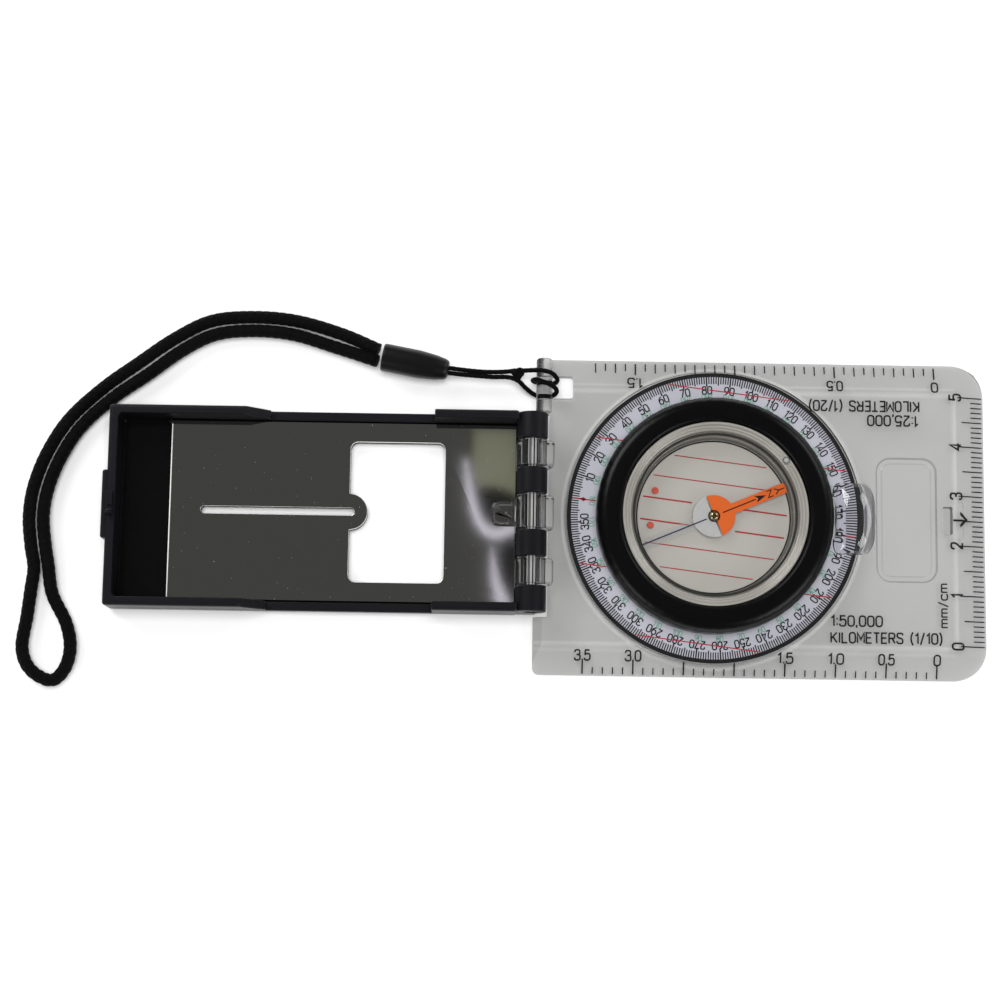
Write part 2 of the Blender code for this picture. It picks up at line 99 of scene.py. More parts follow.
class Finish:  # one material and its nodes
    def __init__(self, name):
        self.material = bpy.data.materials.new(name)
        self.material.use_nodes = True
        self.tree = self.material.node_tree
        self.tree.nodes.clear()

    def node(self, kind, settings=None, sockets=None, output=0):
        item = self.tree.nodes.new(kind)
        for key, value in (settings or {}).items():
            setattr(item, key, value)
        for key, value in (sockets or {}).items():
            if isinstance(value, Wire):
                self.tree.links.new(value.socket, item.inputs[key])
            elif value is not None:
                item.inputs[key].default_value = (*value, 1) if key == "Base Color" and len(value) == 3 else value
        return Wire(self, item.outputs[output])

    def place(self):
        return self.node("ShaderNodeTexCoord", output="Object")

    def along(self, axis):  # 0, 1 or 2: how far the place is along x, y or z
        return self.node("ShaderNodeSeparateXYZ", {}, {0: self.place()}, axis)

    def fromDial(self):
        x, y = self.along(0) - dialX, self.along(1) - centreY
        return (x * x + y * y) ** 0.5

    def size(self, value):
        return self.node("ShaderNodeMath", {"operation": "ABSOLUTE"}, {0: value})

    def line(self, value, centre, half, core):  # 1 in the middle of a line, 0 beside it
        return self.node("ShaderNodeMapRange", {}, {0: self.size(value - centre), 1: half, 2: half * core})

    def noise(self, scale, detail=3.0, stretch=(1, 1, 1)):
        spot = self.node("ShaderNodeMapping", {}, {"Vector": self.place(), "Scale": stretch})
        return self.node("ShaderNodeTexNoise", {}, {"Vector": spot, "Scale": scale, "Detail": detail})

    def mix(self, factor, first, second):
        colours = {0: factor, 6: first if isinstance(first, Wire) else (*first, 1),
                   7: second if isinstance(second, Wire) else (*second, 1)}
        return self.node("ShaderNodeMix", {"data_type": "RGBA"}, colours, output=2)

    def bump(self, height, strength, distance):
        return self.node("ShaderNodeBump", {}, {"Height": height, "Strength": strength, "Distance": distance})

    def principled(self, **sockets):
        names = {"colour": "Base Color", "roughness": "Roughness", "metallic": "Metallic", "normal": "Normal",
                 "coat": "Coat Weight", "coatRoughness": "Coat Roughness", "transmission": "Transmission Weight",
                 "ior": "IOR", "alpha": "Alpha", "sheen": "Sheen Weight", "sheenRoughness": "Sheen Roughness",
                 "specular": "Specular IOR Level"}
        return self.node("ShaderNodeBsdfPrincipled", {}, {names[key]: value for key, value in sockets.items()})

    def clear(self, tint, **sockets):  # glass to look at, and a tinted pane to the light that falls through
        body = self.principled(transmission=1.0, **sockets)
        through = self.node("ShaderNodeBsdfTransparent", {}, {"Color": (*tint, 1)})
        shadow = self.node("ShaderNodeLightPath", output="Is Shadow Ray")
        return self.done(self.node("ShaderNodeMixShader", {}, {0: shadow, 1: body, 2: through}))

    def done(self, surface):
        output = self.tree.nodes.new("ShaderNodeOutputMaterial")
        self.tree.links.new(surface.socket, output.inputs["Surface"])
        return self.material


def handled(finish, haze, wear):  # the roughness and the ripple of clear plastic that has been handled
    smear = finish.noise(140, 3)
    scratch = finish.noise(900, 2, (1, 9, 1)) > 0.66
    return haze + scratch * wear + smear * 0.02, finish.bump(finish.noise(45, 1), 0.06, 0.0004)


def clearPlastic(name, tint, haze):
    finish = Finish(name)
    roughness, ripple = handled(finish, haze, 0.10)
    return finish.clear(tint, colour=tint, roughness=roughness, ior=1.46, normal=ripple)


def domeClear(name, tint, ior):  # polished all over, to look through
    finish = Finish(name)
    return finish.clear(tint, colour=tint, roughness=finish.noise(140, 2) * 0.01, ior=ior)


def plateClear(name, tint, paintedShadeTint, paintedHighlightTint):  # painted shade where the surface turns, and painted highlights as pale lines at the border and round the recess
    finish = Finish(name)
    facing = finish.node("ShaderNodeNewGeometry", output="Normal")
    upright = finish.node("ShaderNodeSeparateXYZ", {}, {0: facing}, 2)
    # painted shade: the colour darkens where the surface slopes away from flat, standing in for the dark outlines that
    # refraction gives
    edge = finish.node("ShaderNodeMapRange", {}, {0: 1 - finish.size(upright), 1: 0.06, 2: 0.30})
    x, across = finish.along(0), finish.size(finish.along(1))
    # painted highlights: pale lines along the inner border and round the recess rim, standing in for light caught by
    # the glass edges
    border = (finish.line(across, 0.0254, 0.0005, 0.3) + 0.6 * finish.line(across, 0.0266, 0.0004, 0.3)) * (x < 0.0816)
    border = border + finish.line(x, 0.0815, 0.0005, 0.3) * (across < 0.0254)
    rim = finish.line(finish.fromDial(), 0.0300, 0.0005, 0.3)
    paintedHighlight = (border * 0.55 + rim * 0.9) * (0.6 + 0.6 * finish.noise(60, 2))
    colour = finish.mix(edge, finish.mix(paintedHighlight, tint, paintedHighlightTint), paintedShadeTint)
    roughness, ripple = handled(finish, 0.02, 0.08)
    return finish.clear(tint, colour=colour, roughness=roughness, ior=1.46, normal=ripple)


def streakedSteel(name, dark, light):  # a turned pin, with painted highlights as long pale streaks seen through the clear knuckles
    finish = Finish(name)
    x = (finish.along(0) - hingeX) * 1000 + finish.noise(300, 1) * 0.06
    # painted highlights: pale bands along the pin at fixed places near the hinge
    paintedGlints = 0.25 * finish.line(x, -0.28, 0.2, 0.6)
    for centre, half in ((-0.62, 0.12), (0.05, 0.20), (0.62, 0.20)):
        paintedGlints = paintedGlints + finish.line(x, centre, half, 0.6)
    grain = finish.noise(2400, 2, (1, 0.05, 1))
    return finish.done(finish.principled(colour=finish.mix(paintedGlints, dark, light), roughness=0.22 + grain * 0.1))


def coverFinish(name, worn, fresh, floorColour):  # satin walls over a smooth floor that is darker with painted shade
    finish = Finish(name)
    # painted shade: the tray's floor between its walls, below this height, takes the darker colour
    floor = finish.along(2) < 0.0016
    cloud = finish.noise(60, 3)
    colour = finish.mix(floor, finish.mix(cloud, worn, fresh), floorColour)
    return finish.done(finish.principled(colour=colour, roughness=0.36 + cloud * 0.10 - floor * 0.24, specular=0.28,
                                         normal=finish.bump(finish.noise(5200, 3), 0.2, 0.00004)))


def thinPane(name, tint):  # a flat pane that bends nothing behind it
    finish = Finish(name)
    dust = (finish.noise(2600, 1) > 0.72) * 0.25
    gloss = finish.node("ShaderNodeBsdfGlossy", {}, {"Roughness": 0.02 + dust, "Color": (1, 1, 1, 1)})
    through = finish.node("ShaderNodeBsdfTransparent", {}, {"Color": (*tint, 1)})
    grazing = finish.node("ShaderNodeLayerWeight", {}, {"Blend": 0.5}, 1)
    return finish.done(finish.node("ShaderNodeMixShader", {}, {0: 0.02 + 0.5 * grazing ** 5, 1: through, 2: gloss}))


def needleFilm(name, dark, light):  # clear along the arm, milky over the hub
    finish = Finish(name)
    hub = finish.fromDial() < 0.00425
    cloud = finish.noise(900, 2)
    body = finish.principled(
        colour=finish.mix(cloud, dark, light), roughness=0.18 + cloud * 0.1, coat=0.6, coatRoughness=0.08)
    through = finish.node("ShaderNodeBsdfTransparent", {}, {"Color": (0.97, 0.97, 0.97, 1)})
    return finish.done(finish.node("ShaderNodeMixShader", {}, {0: 0.16 + hub * 0.56, 1: through, 2: body}))


def silverRim(name, colour):  # clear plastic turned on a lathe, which reads as pale silver
    finish = Finish(name)
    lines = finish.node("ShaderNodeMath", {"operation": "SINE"}, {0: finish.fromDial() * 14000})
    cloud = finish.noise(90, 3)
    shade = finish.mix(cloud, [part * 0.8 for part in colour], [part * 1.15 for part in colour])
    return finish.done(finish.principled(
        colour=shade, metallic=0.35, roughness=0.20 + cloud * 0.10,
        normal=finish.bump(lines, 0.25, 0.00003), coat=0.6, coatRoughness=0.06))


def mouldedPlastic(name, colour, roughness, grain, coarse=5200, gleam=0.35):
    finish = Finish(name)
    spark = finish.noise(coarse, 3)
    cloud = finish.noise(60, 3)
    worn = finish.mix(cloud, [shade * 0.86 for shade in colour], [shade * 1.16 for shade in colour])
    return finish.done(finish.principled(
        colour=worn, roughness=roughness - 0.06 + cloud * 0.12, specular=gleam,
        normal=finish.bump(spark, grain, 0.00004)))


def mirrorGlass(name, tint):
    finish = Finish(name)
    speck = (finish.noise(1500, 2) > 0.74) * 0.35
    cloud = finish.noise(18, 2)
    colour = finish.mix(cloud, [shade * 0.97 for shade in tint], tint)
    return finish.done(finish.principled(colour=colour, roughness=0.055 + speck, metallic=1.0))


def polishedMetal(name, colour, roughness):
    finish = Finish(name)
    lines = finish.noise(2400, 3)
    return finish.done(finish.principled(
        colour=finish.mix(lines, [shade * 0.8 for shade in colour], colour),
        roughness=roughness + lines * 0.12, metallic=1.0))


def printInk(name, colour):
    finish = Finish(name)
    patch = finish.noise(2200, 2)
    return finish.done(finish.principled(
        colour=finish.mix(patch, [shade * 0.75 for shade in colour], [min(1, shade * 1.25) for shade in colour]),
        roughness=0.5 + patch * 0.1))


def printedCard(name, colour, roughness, coat=0.3):
    finish = Finish(name)
    cloud = finish.noise(220, 4)
    return finish.done(finish.principled(
        colour=finish.mix(cloud, [shade * 0.93 for shade in colour], colour),
        roughness=roughness + cloud * 0.08, coat=coat, coatRoughness=0.1,
        normal=finish.bump(finish.noise(3000, 2), 0.08, 0.00003)))


def braidFibre(name, colour):
    finish = Finish(name)
    fuzz = finish.noise(7000, 3)
    patch = finish.noise(500, 3)
    return finish.done(finish.principled(
        colour=finish.mix(patch, [shade * 0.6 for shade in colour], [shade * 1.5 for shade in colour]),
        roughness=0.55 + fuzz * 0.2, specular=0.06, sheen=0.02, sheenRoughness=0.4,
        normal=finish.bump(fuzz, 0.5, 0.00008)))


finishes = {
    # the plate's second colour is painted shade on sloping faces, the third is painted highlight lines
    "plate": plateClear("plate_clear", (0.700, 0.700, 0.698), (0.34, 0.34, 0.34), (0.98, 0.98, 0.97)),
    "lens": clearPlastic("lens_clear", (0.93, 0.93, 0.94), 0.01),
    "dome": domeClear("dome_clear", (0.97, 0.97, 0.98), 1.80),
    "rim": silverRim("rim_silver", (0.40, 0.39, 0.355)),
    "pane": thinPane("capsule_pane", (0.975, 0.975, 0.97)),
    # the third colour is painted shade on the tray's floor
    "tray": coverFinish("cover_plastic", (0.0048, 0.0048, 0.0064), (0.0070, 0.0070, 0.0092), (0.0028, 0.0028, 0.0030)),
    "bezel": mouldedPlastic("bezel_plastic", (0.0018, 0.0018, 0.0022), 0.30, 0.06, 5200, 0.22),
    "mirror": mirrorGlass("mirror_silver", (0.86, 0.87, 0.85)),
    "mirrorEdge": printedCard("mirror_edge", (0.85, 0.85, 0.84), 0.25, 0.6),
    "tape": printedCard("tape_foam", (0.70, 0.70, 0.68), 0.7, 0.0),
    # painted highlight streaks on the hinge pin; the pivot pin, away from the hinge, stays dark
    "steel": streakedSteel("pin_steel", (0.015, 0.015, 0.017), (0.95, 0.95, 0.95)),
    "magnet": polishedMetal("magnet_steel", (0.16, 0.16, 0.165), 0.35),
    "brass": polishedMetal("cap_brass", (0.60, 0.52, 0.30), 0.16),
    "ring": printedCard("ring_card", (0.41, 0.41, 0.462), 0.34),
    "disc": printedCard("disc_card", (0.425, 0.41, 0.385), 0.42),
    "retainer": mouldedPlastic("retainer_plastic", (0.55, 0.55, 0.55), 0.35, 0.1),
    "gasket": mouldedPlastic("gasket_rubber", (0.022, 0.022, 0.020), 0.55, 0.2),
    "black": printInk("ink_black", (0.006, 0.006, 0.006)),
    "green": printInk("ink_green", (0.14, 0.30, 0.22)),
    "red": printInk("ink_red", (0.33, 0.018, 0.030)),
    "navy": printInk("ink_navy", (0.016, 0.016, 0.055)),
    "orange": mouldedPlastic("needle_orange", (0.58, 0.108, 0.020), 0.36, 0.05),
    "southArm": needleFilm("needle_clear", (0.46, 0.46, 0.47), (0.56, 0.56, 0.57)),
    "dot": printInk("luminous_red", (0.50, 0.085, 0.055)),
    "plug": mouldedPlastic("plug_plastic", (0.30, 0.30, 0.30), 0.35, 0.1),
    "cord": braidFibre("cord_fibre", (0.0028, 0.0028, 0.0031)),
    "sleeve": mouldedPlastic("sleeve_rubber", (0.0042, 0.0042, 0.0046), 0.38, 0.3, 3000, 0.3),
}
print("finishes made:", len(finishes))


def newPiece(name, mesh):
    item = bpy.data.objects.new(name, mesh)
    bpy.context.scene.collection.objects.link(item)
    return item


def meshFrom(shape, name):
    mesh = bpy.data.meshes.new(name)
    bmesh.ops.recalc_face_normals(shape, faces=shape.faces)
    shape.to_mesh(mesh)
    shape.free()
    return newPiece(name, mesh)


def block(name, xRange, yRange, zRange):
    low = Vector((xRange[0], yRange[0], zRange[0]))
    high = Vector((xRange[1], yRange[1], zRange[1]))
    shape = bmesh.new()
    spot = Matrix.Translation((low + high) / 2) @ Matrix.Diagonal((*(high - low), 1))
    bmesh.ops.create_cube(shape, size=1, matrix=spot)
    return meshFrom(shape, name)


def rod(name, radius, start, end, sides):
    start, end = Vector(start), Vector(end)
    turn = (end - start).to_track_quat("Z", "Y").to_matrix().to_4x4()
    shape = bmesh.new()
    bmesh.ops.create_cone(shape, cap_ends=True, segments=sides, radius1=radius, radius2=radius,
                          depth=(end - start).length, matrix=Matrix.Translation((start + end) / 2) @ turn)
    return meshFrom(shape, name)


def lathe(name, profile, steps, centre=(dialX, centreY)):  # profile: (radius, z), closed
    x, y = centre
    shape = bmesh.new()
    rows = []
    for radius, z in profile:
        if radius < 1e-7:
            rows.append([shape.verts.new((x, y, z))])
        else:
            rows.append([shape.verts.new((x + radius * cos(2 * pi * step / steps),
                                          y + radius * sin(2 * pi * step / steps), z)) for step in range(steps)])
    for first, second in zip(rows, rows[1:] + rows[:1]):
        if len(first) == 1 and len(second) == 1:
            continue
        for step in range(steps):
            after = (step + 1) % steps
            corners = [first[step % len(first)], first[after % len(first)],
                       second[after % len(second)], second[step % len(second)]]
            shape.faces.new(list(dict.fromkeys(corners)))
    return meshFrom(shape, name)


def bend(points, index, radius, part, steps):  # one corner rounded, its curve up to that part of each side
    corner = Vector(points[index])
    inward, outward = Vector(points[index - 1]) - corner, Vector(points[(index + 1) % len(points)]) - corner
    reach = min(radius, inward.length * part, outward.length * part)
    start, end = corner + inward.normalized() * reach, corner + outward.normalized() * reach
    parts = [step / steps for step in range(steps + 1)]
    return [(1 - t) ** 2 * start + 2 * t * (1 - t) * corner + t ** 2 * end for t in parts]


def roundOff(points, radius, steps):  # rounds the corners of a lathe profile, but for those on its axis
    result = []
    for index, corner in enumerate(points):
        curve = [corner] if abs(corner[0]) < 1e-9 else bend(points, index, radius, 0.45, steps)
        result += [tuple(spot) for spot in curve]
    return result


def arc(centre, radius, start, end, steps):
    angles = [radians(start + (end - start) * step / steps) for step in range(steps + 1)]
    return [(centre[0] + radius * cos(angle), centre[1] + radius * sin(angle)) for angle in angles]


def roundedOutline(xRange, yRange, radii, steps=10):  # radii: right top, left top, left bottom, right bottom
    (left, right), (low, high) = xRange, yRange
    corners = [(right, high, -1, -1, 0), (left, high, 1, -1, 90), (left, low, 1, 1, 180), (right, low, -1, 1, 270)]
    points = []
    for (x, y, toX, toY, start), radius in zip(corners, radii):
        points += arc((x + toX * radius, y + toY * radius), radius, start, start + 90, steps)
    return points


def loft(name, rings):  # rings of equal length, each a list of (x, y, z), capped at both ends
    shape = bmesh.new()
    rows = [[shape.verts.new(point) for point in ring] for ring in rings]
    for first, second in zip(rows, rows[1:]):
        for index in range(len(first)):
            after = (index + 1) % len(first)
            shape.faces.new((first[index], first[after], second[after], second[index]))
    shape.faces.new(rows[0][::-1])
    shape.faces.new(rows[-1])
    return meshFrom(shape, name)


def prism(name, outline, bottom, top):
    return loft(name, [[(x, y, z) for x, y in outline] for z in (bottom, top)])


def carve(item, other, operation="DIFFERENCE"):  # cuts or joins, and uses the other mesh up
    modifier = item.modifiers.new("carve", "BOOLEAN")
    modifier.object = other
    modifier.operation = operation
    modifier.solver = "EXACT"
    settle(item)
    bpy.data.objects.remove(other, do_unlink=True)
    return item


def settle(item):  # takes up the modifiers into the mesh
    bpy.context.view_layer.update()
    mesh = bpy.data.meshes.new_from_object(item.evaluated_get(bpy.context.evaluated_depsgraph_get()))
    item.modifiers.clear()
    item.data = mesh
    return item


def soften(item, width, segments=2, angle=38):
    modifier = item.modifiers.new("soften", "BEVEL")
    modifier.width = width
    modifier.segments = segments
    modifier.limit_method = "ANGLE"
    modifier.angle_limit = radians(angle)
    modifier.miter_outer = "MITER_ARC"
    return settle(item)


def joined(name, items):
    shape = bmesh.new()
    for item in items:
        item.data.transform(item.matrix_world)
        shape.from_mesh(item.data)
        bpy.data.objects.remove(item, do_unlink=True)
    mesh = bpy.data.meshes.new(name)
    shape.to_mesh(mesh)
    shape.free()
    return newPiece(name, mesh)


def hang(item, body, finish, slot, *nodes, smooth=32, flat=False):
    item.data.materials.clear()
    item.data.materials.append(finishes[finish])
    item.data.shade_smooth()
    item.data.set_sharp_from_angle(angle=radians(smooth))
    if flat:  # keeps broad faces flat between their softened edges
        modifier = item.modifiers.new("flat", "WEIGHTED_NORMAL")
        modifier.keep_sharp = True
        modifier.weight = 100
        settle(item)
    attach(item, body)
    if nodes:
        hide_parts(*nodes)
    return item


studio = {
    "cameraPlace": (-0.0095, -0.0632, 0.4457), "cameraTurn": (8.47, -0.17, 0.9), "lens": 81.0,
    "floorDrop": 0.0004, "floorSize": 3.0, "floorColour": (0.93, 0.93, 0.93), "world": (0.058, 0.057, 0.054),
    "lamps": {  # name: place, width, height, watts
        "key": ((-0.55, 0.60, 0.62), 0.55, 0.55, 4.2),
        "fill": ((0.70, -0.55, 0.55), 0.60, 0.45, 2.8),
        "side": ((0.75, 0.55, 0.50), 0.45, 0.45, 1.9),
        "front": ((-0.70, -0.65, 0.50), 0.45, 0.45, 1.9),
        "overhead": ((0.0, -0.02, 1.3), 0.7, 0.7, 15.0),
    },
}


def makeStudio():
    camera = bpy.data.cameras.new("camera")
    camera.lens = studio["lens"]
    camera.sensor_width = 36
    camera.clip_start = 0.01
    view = newPiece("camera", camera)
    tilt, lean, roll = [radians(turn) for turn in studio["cameraTurn"]]
    view.matrix_world = (Matrix.Translation(studio["cameraPlace"]) @ Matrix.Rotation(roll, 4, "Z")
                         @ Matrix.Rotation(lean, 4, "Y") @ Matrix.Rotation(tilt, 4, "X"))
    bpy.context.scene.camera = view
    bpy.context.scene.view_settings.view_transform = "Standard"

    half = studio["floorSize"] / 2
    drop = -studio["floorDrop"]
    floor = block("floor", (-half, half), (-half, half), (drop - 0.002, drop))
    paper = Finish("floor_paper")
    floor.data.materials.append(paper.done(paper.principled(colour=studio["floorColour"], roughness=0.9)))

    world = bpy.data.worlds.new("studio_world")
    bpy.context.scene.world = world
    world.use_nodes = True
    backdrop = world.node_tree.nodes["Background"]
    backdrop.inputs["Color"].default_value = (*studio["world"], 1)
    backdrop.inputs["Strength"].default_value = 1.0

    for name, (place, width, height, watts) in studio["lamps"].items():
        light = bpy.data.lights.new(name, "AREA")
        light.shape = "RECTANGLE"
        light.size, light.size_y = width, height
        light.energy = watts
        lamp = newPiece(name, light)
        lamp.location = place
        lamp.rotation_euler = (-Vector(place)).to_track_quat("-Z", "Y").to_euler()
        lamp.visible_glossy = name != "overhead"  # it lights, and isn't mirrored
        lamp.visible_transmission = False


# What stands over the set and shows in the mirror. Each card: how far below the height, its two shades, its strength,
# and its outline, or a strip's middle line, by where it shows in metres on the mirror.
cards = {
    "height": 0.36, "stripWidths": (0.0007, 0.0022),
    "shapes": {
        "green_panel": (0.0, (0.10, 0.10, 0.070), (0.26, 0.26, 0.19), 1.0, [
            (-0.0145, 0.0174), (-0.0058, 0.0174), (-0.0050, 0.0010), (-0.0065, 0.0030), (-0.0083, 0.0048),
            (-0.0110, 0.0056), (-0.0134, 0.0053), (-0.0142, 0.0073), (-0.0147, 0.0112)]),
        "dark_edge": (0.0, (0.02, 0.02, 0.02), (0.04, 0.04, 0.04), 1.0, [
            (-0.0163, 0.0174), (-0.0145, 0.0174), (-0.0146, 0.0112), (-0.0157, 0.0117)]),
        "black_body": (0.004, (0.001, 0.001, 0.001), (0.003, 0.003, 0.003), 1.0, [
            (-0.0136, 0.0050), (-0.0109, 0.0055), (-0.0083, 0.0052), (-0.0065, 0.0044), (-0.0050, 0.0034),
            (-0.0050, -0.0030), (-0.0079, -0.0030), (-0.0102, -0.0030), (-0.0120, -0.0023), (-0.0132, 0.0000),
            (-0.0138, 0.0026)]),
        "black_side": (0.004, (0.001, 0.001, 0.001), (0.003, 0.003, 0.003), 1.0, [
            (-0.0050, -0.0033), (-0.0076, -0.0049), (-0.0083, -0.0070), (-0.0086, -0.0099), (-0.0083, -0.0129),
            (-0.0076, -0.0155), (-0.0062, -0.0176), (-0.0050, -0.0190)]),
        "longStrip": (0.008, (0.50, 0.47, 0.56), (0.62, 0.59, 0.66), 1.35, [
            (-0.0162, 0.0112), (-0.0157, 0.0076), (-0.0151, 0.0040), (-0.0146, 0.0010), (-0.0137, -0.0015),
            (-0.0120, -0.0036), (-0.0098, -0.0044), (-0.0078, -0.0037), (-0.0055, -0.0024)]),
        "shortStrip": (0.008, (0.50, 0.47, 0.56), (0.62, 0.59, 0.66), 1.35, [
            (-0.0106, -0.0072), (-0.0104, -0.0106), (-0.0100, -0.0138), (-0.0089, -0.0166), (-0.0074, -0.0190)]),
    },
}


def mirrored(x, y, height):  # where a thing of that height stands, if the camera sees it at a point of the mirror
    eye = Vector(studio["cameraPlace"])
    rise = (height - mirrorHigh.z) / (eye.z - mirrorHigh.z)
    return (x + (x - eye.x) * rise, y + (y - eye.y) * rise)


def makeCard(name, outline, height, dark, light, strength):
    item = prism(name, [mirrored(x, y, height) for x, y in outline], height, height + 0.0005)
    finish = Finish(name + "_finish")
    shade = finish.mix(finish.noise(16, 1), dark, light)
    glow = finish.node("ShaderNodeEmission", {}, {"Color": shade, "Strength": strength})
    item.data.materials.append(finish.done(glow))
    item.visible_camera = item.visible_diffuse = item.visible_shadow = False


def stripOutline(points):
    thin, thick = cards["stripWidths"]
    left, right = [], []
    spots = [Vector(point) for point in points]
    for index, spot in enumerate(spots):
        along = (spots[min(index + 1, len(spots) - 1)] - spots[max(index - 1, 0)]).normalized()
        half = (thin + (thick - thin) * min(1.0, index / 3)) / 2
        left.append(tuple(spot + Vector((-along.y, along.x)) * half))
        right.append(tuple(spot - Vector((-along.y, along.x)) * half))
    return left + right[::-1]


def makeCards():
    for name, (drop, dark, light, strength, points) in cards["shapes"].items():
        outline = stripOutline(points) if name.endswith("Strip") else points
        makeCard(name, outline, cards["height"] - drop, dark, light, strength)


makeStudio()


lanyard = {
    "cordDiameter": 0.0026, "strandCount": 8, "ridge": 0.00030, "plaitPitch": 0.0064, "sides": 48,
    "wristRoute": [
        (-0.0342, 0.0306, 0.0026), (-0.0426, 0.0334, 0.0018), (-0.0512, 0.0359, 0.0018),
        (-0.0592, 0.0366, 0.0018), (-0.0670, 0.0357, 0.0018), (-0.0735, 0.0324, 0.0018),
        (-0.0805, 0.0272, 0.0018), (-0.0875, 0.0221, 0.0018), (-0.0935, 0.0162, 0.0018),
        (-0.0972, 0.0100, 0.0018), (-0.0994, 0.0038, 0.0018), (-0.1001, -0.0018, 0.0018),
        (-0.0995, -0.0072, 0.0018), (-0.0987, -0.0115, 0.0018), (-0.0976, -0.0173, 0.0018),
        (-0.0946, -0.0231, 0.0018), (-0.0936, -0.0280, 0.0018), (-0.0946, -0.0322, 0.0018),
        (-0.0972, -0.0344, 0.0018), (-0.1013, -0.0323, 0.0018), (-0.1031, -0.0281, 0.0018),
        (-0.1024, -0.0218, 0.0018), (-0.1019, -0.0166, 0.0018), (-0.1015, -0.0121, 0.0018),
        (-0.1023, -0.0076, 0.0018), (-0.1029, -0.0018, 0.0018), (-0.1022, 0.0044, 0.0018),
        (-0.0998, 0.0112, 0.0018), (-0.0957, 0.0180, 0.0018), (-0.0893, 0.0243, 0.0018),
        (-0.0823, 0.0296, 0.0018), (-0.0751, 0.0348, 0.0018), (-0.0678, 0.0385, 0.0018),
        (-0.0592, 0.0394, 0.0018), (-0.0506, 0.0387, 0.0018), (-0.0416, 0.0362, 0.0018),
        (-0.0340, 0.0329, 0.0026)],
    "tetherRoute": [  # out of the sleeve, through the knot, round the lug and back
        (-0.0205, 0.0294, 0.0031), (-0.0170, 0.0290, 0.0030), (-0.0130, 0.0287, 0.0029), (-0.0095, 0.0287, 0.0030),
        (-0.0065, 0.0289, 0.0034), (-0.0042, 0.0289, 0.0040), (-0.0024, 0.0288, 0.0049), (-0.0007, 0.0286, 0.0054),
        (0.0010, 0.0281, 0.0049), (0.0019, 0.0272, 0.0030), (0.0010, 0.0268, 0.0011), (-0.0007, 0.0270, 0.0006),
        (-0.0024, 0.0271, 0.0012), (-0.0030, 0.0271, 0.0030), (-0.0022, 0.0269, 0.0049), (-0.0007, 0.0263, 0.0054),
        (0.0010, 0.0256, 0.0049), (0.0018, 0.0249, 0.0031), (0.0009, 0.0243, 0.0012), (-0.0007, 0.0242, 0.0007),
        (-0.0026, 0.0245, 0.0013), (-0.0044, 0.0256, 0.0024), (-0.0060, 0.0270, 0.0029), (-0.0080, 0.0277, 0.0028),
        (-0.0110, 0.0277, 0.0028), (-0.0145, 0.0279, 0.0028), (-0.0175, 0.0281, 0.0029), (-0.0205, 0.0284, 0.0030)],
    "tetherDiameter": 0.00095, "knotRadius": 0.0013,
    "sleeveStart": (-0.0333, 0.0314, 0.0030), "sleeveEnd": (-0.0200, 0.0289, 0.0030),
}


def smoothRoute(route, spacing):
    first, last = Vector(route[0]), Vector(route[-1])
    stops = [2 * first - Vector(route[1])] + [Vector(point) for point in route] + [2 * last - Vector(route[-2])]
    points = []
    for before, start, end, after in zip(stops, stops[1:], stops[2:], stops[3:]):
        count = max(1, round((end - start).length / spacing))
        for step in range(count):
            t = step / count
            points.append(0.5 * (2 * start + (end - before) * t + (2 * before - 5 * start + 4 * end - after) * t ** 2
                                 + (3 * start - before - 3 * end + after) * t ** 3))
    return points + [last]


def routeLength(points):
    return sum((after - before).length for before, after in zip(points, points[1:]))


def rails(points):  # a direction along, one across and one up, at each point
    result = []
    for index, point in enumerate(points):
        along = (points[min(index + 1, len(points) - 1)] - points[max(index - 1, 0)]).normalized()
        across = Vector((0, 0, 1)).cross(along).normalized()
        result.append((point, along, across, along.cross(across)))
    return result


def tube(name, points, radiusAt, sides):  # radiusAt(distance, angle)
    shape = bmesh.new()
    rows = []
    travelled = 0.0
    previous = points[0]
    for point, along, across, up in rails(points):
        travelled += (point - previous).length
        previous = point
        row = []
        for side in range(sides):
            angle = 2 * pi * side / sides
            row.append(shape.verts.new(point + (across * cos(angle) + up * sin(angle)) * radiusAt(travelled, angle)))
        rows.append(row)
    for first, second in zip(rows, rows[1:]):
        for side in range(sides):
            after = (side + 1) % sides
            shape.faces.new((first[side], second[side], second[after], first[after]))
    shape.faces.new(rows[0])
    shape.faces.new(rows[-1][::-1])
    return meshFrom(shape, name)


def plaitRadius(diameter, ridge, pitch, strands):
    def radiusAt(distance, angle):
        turn = 2 * pi * distance / pitch
        left = abs(sin(strands / 4 * (angle + turn)))
        right = abs(sin(strands / 4 * (angle - turn)))
        over = sin(strands / 2 * angle) * sin(strands / 2 * turn) > 0
        high = left ** 0.7 if over else right ** 0.7
        return diameter / 2 - ridge + ridge * high
    return radiusAt


def makeWristCord(withPieces):
    points = smoothRoute(lanyard["wristRoute"], 0.00022)
    item = tube("braided_wrist_cord", points, plaitRadius(
        lanyard["cordDiameter"], lanyard["ridge"], lanyard["plaitPitch"], lanyard["strandCount"]), lanyard["sides"])
    hang(item, "base", "cord", "black_cord", "wrist_cord", smooth=60)
    routeLength(points)
    [tuple(point) for point in points[::4] + points[-1:]]


def makeTether(withPieces):
    points = smoothRoute(lanyard["tetherRoute"], 0.00014)
    diameter = lanyard["tetherDiameter"]
    item = tube("thin_tether", points, plaitRadius(diameter, 0.00007, 0.0021, 4), 20)
    hang(item, "base", "cord", "black_cord", "tether_cord", "tether_loop", smooth=60)
    routeLength(points)
    [tuple(point) for point in points[::3] + points[-1:]]


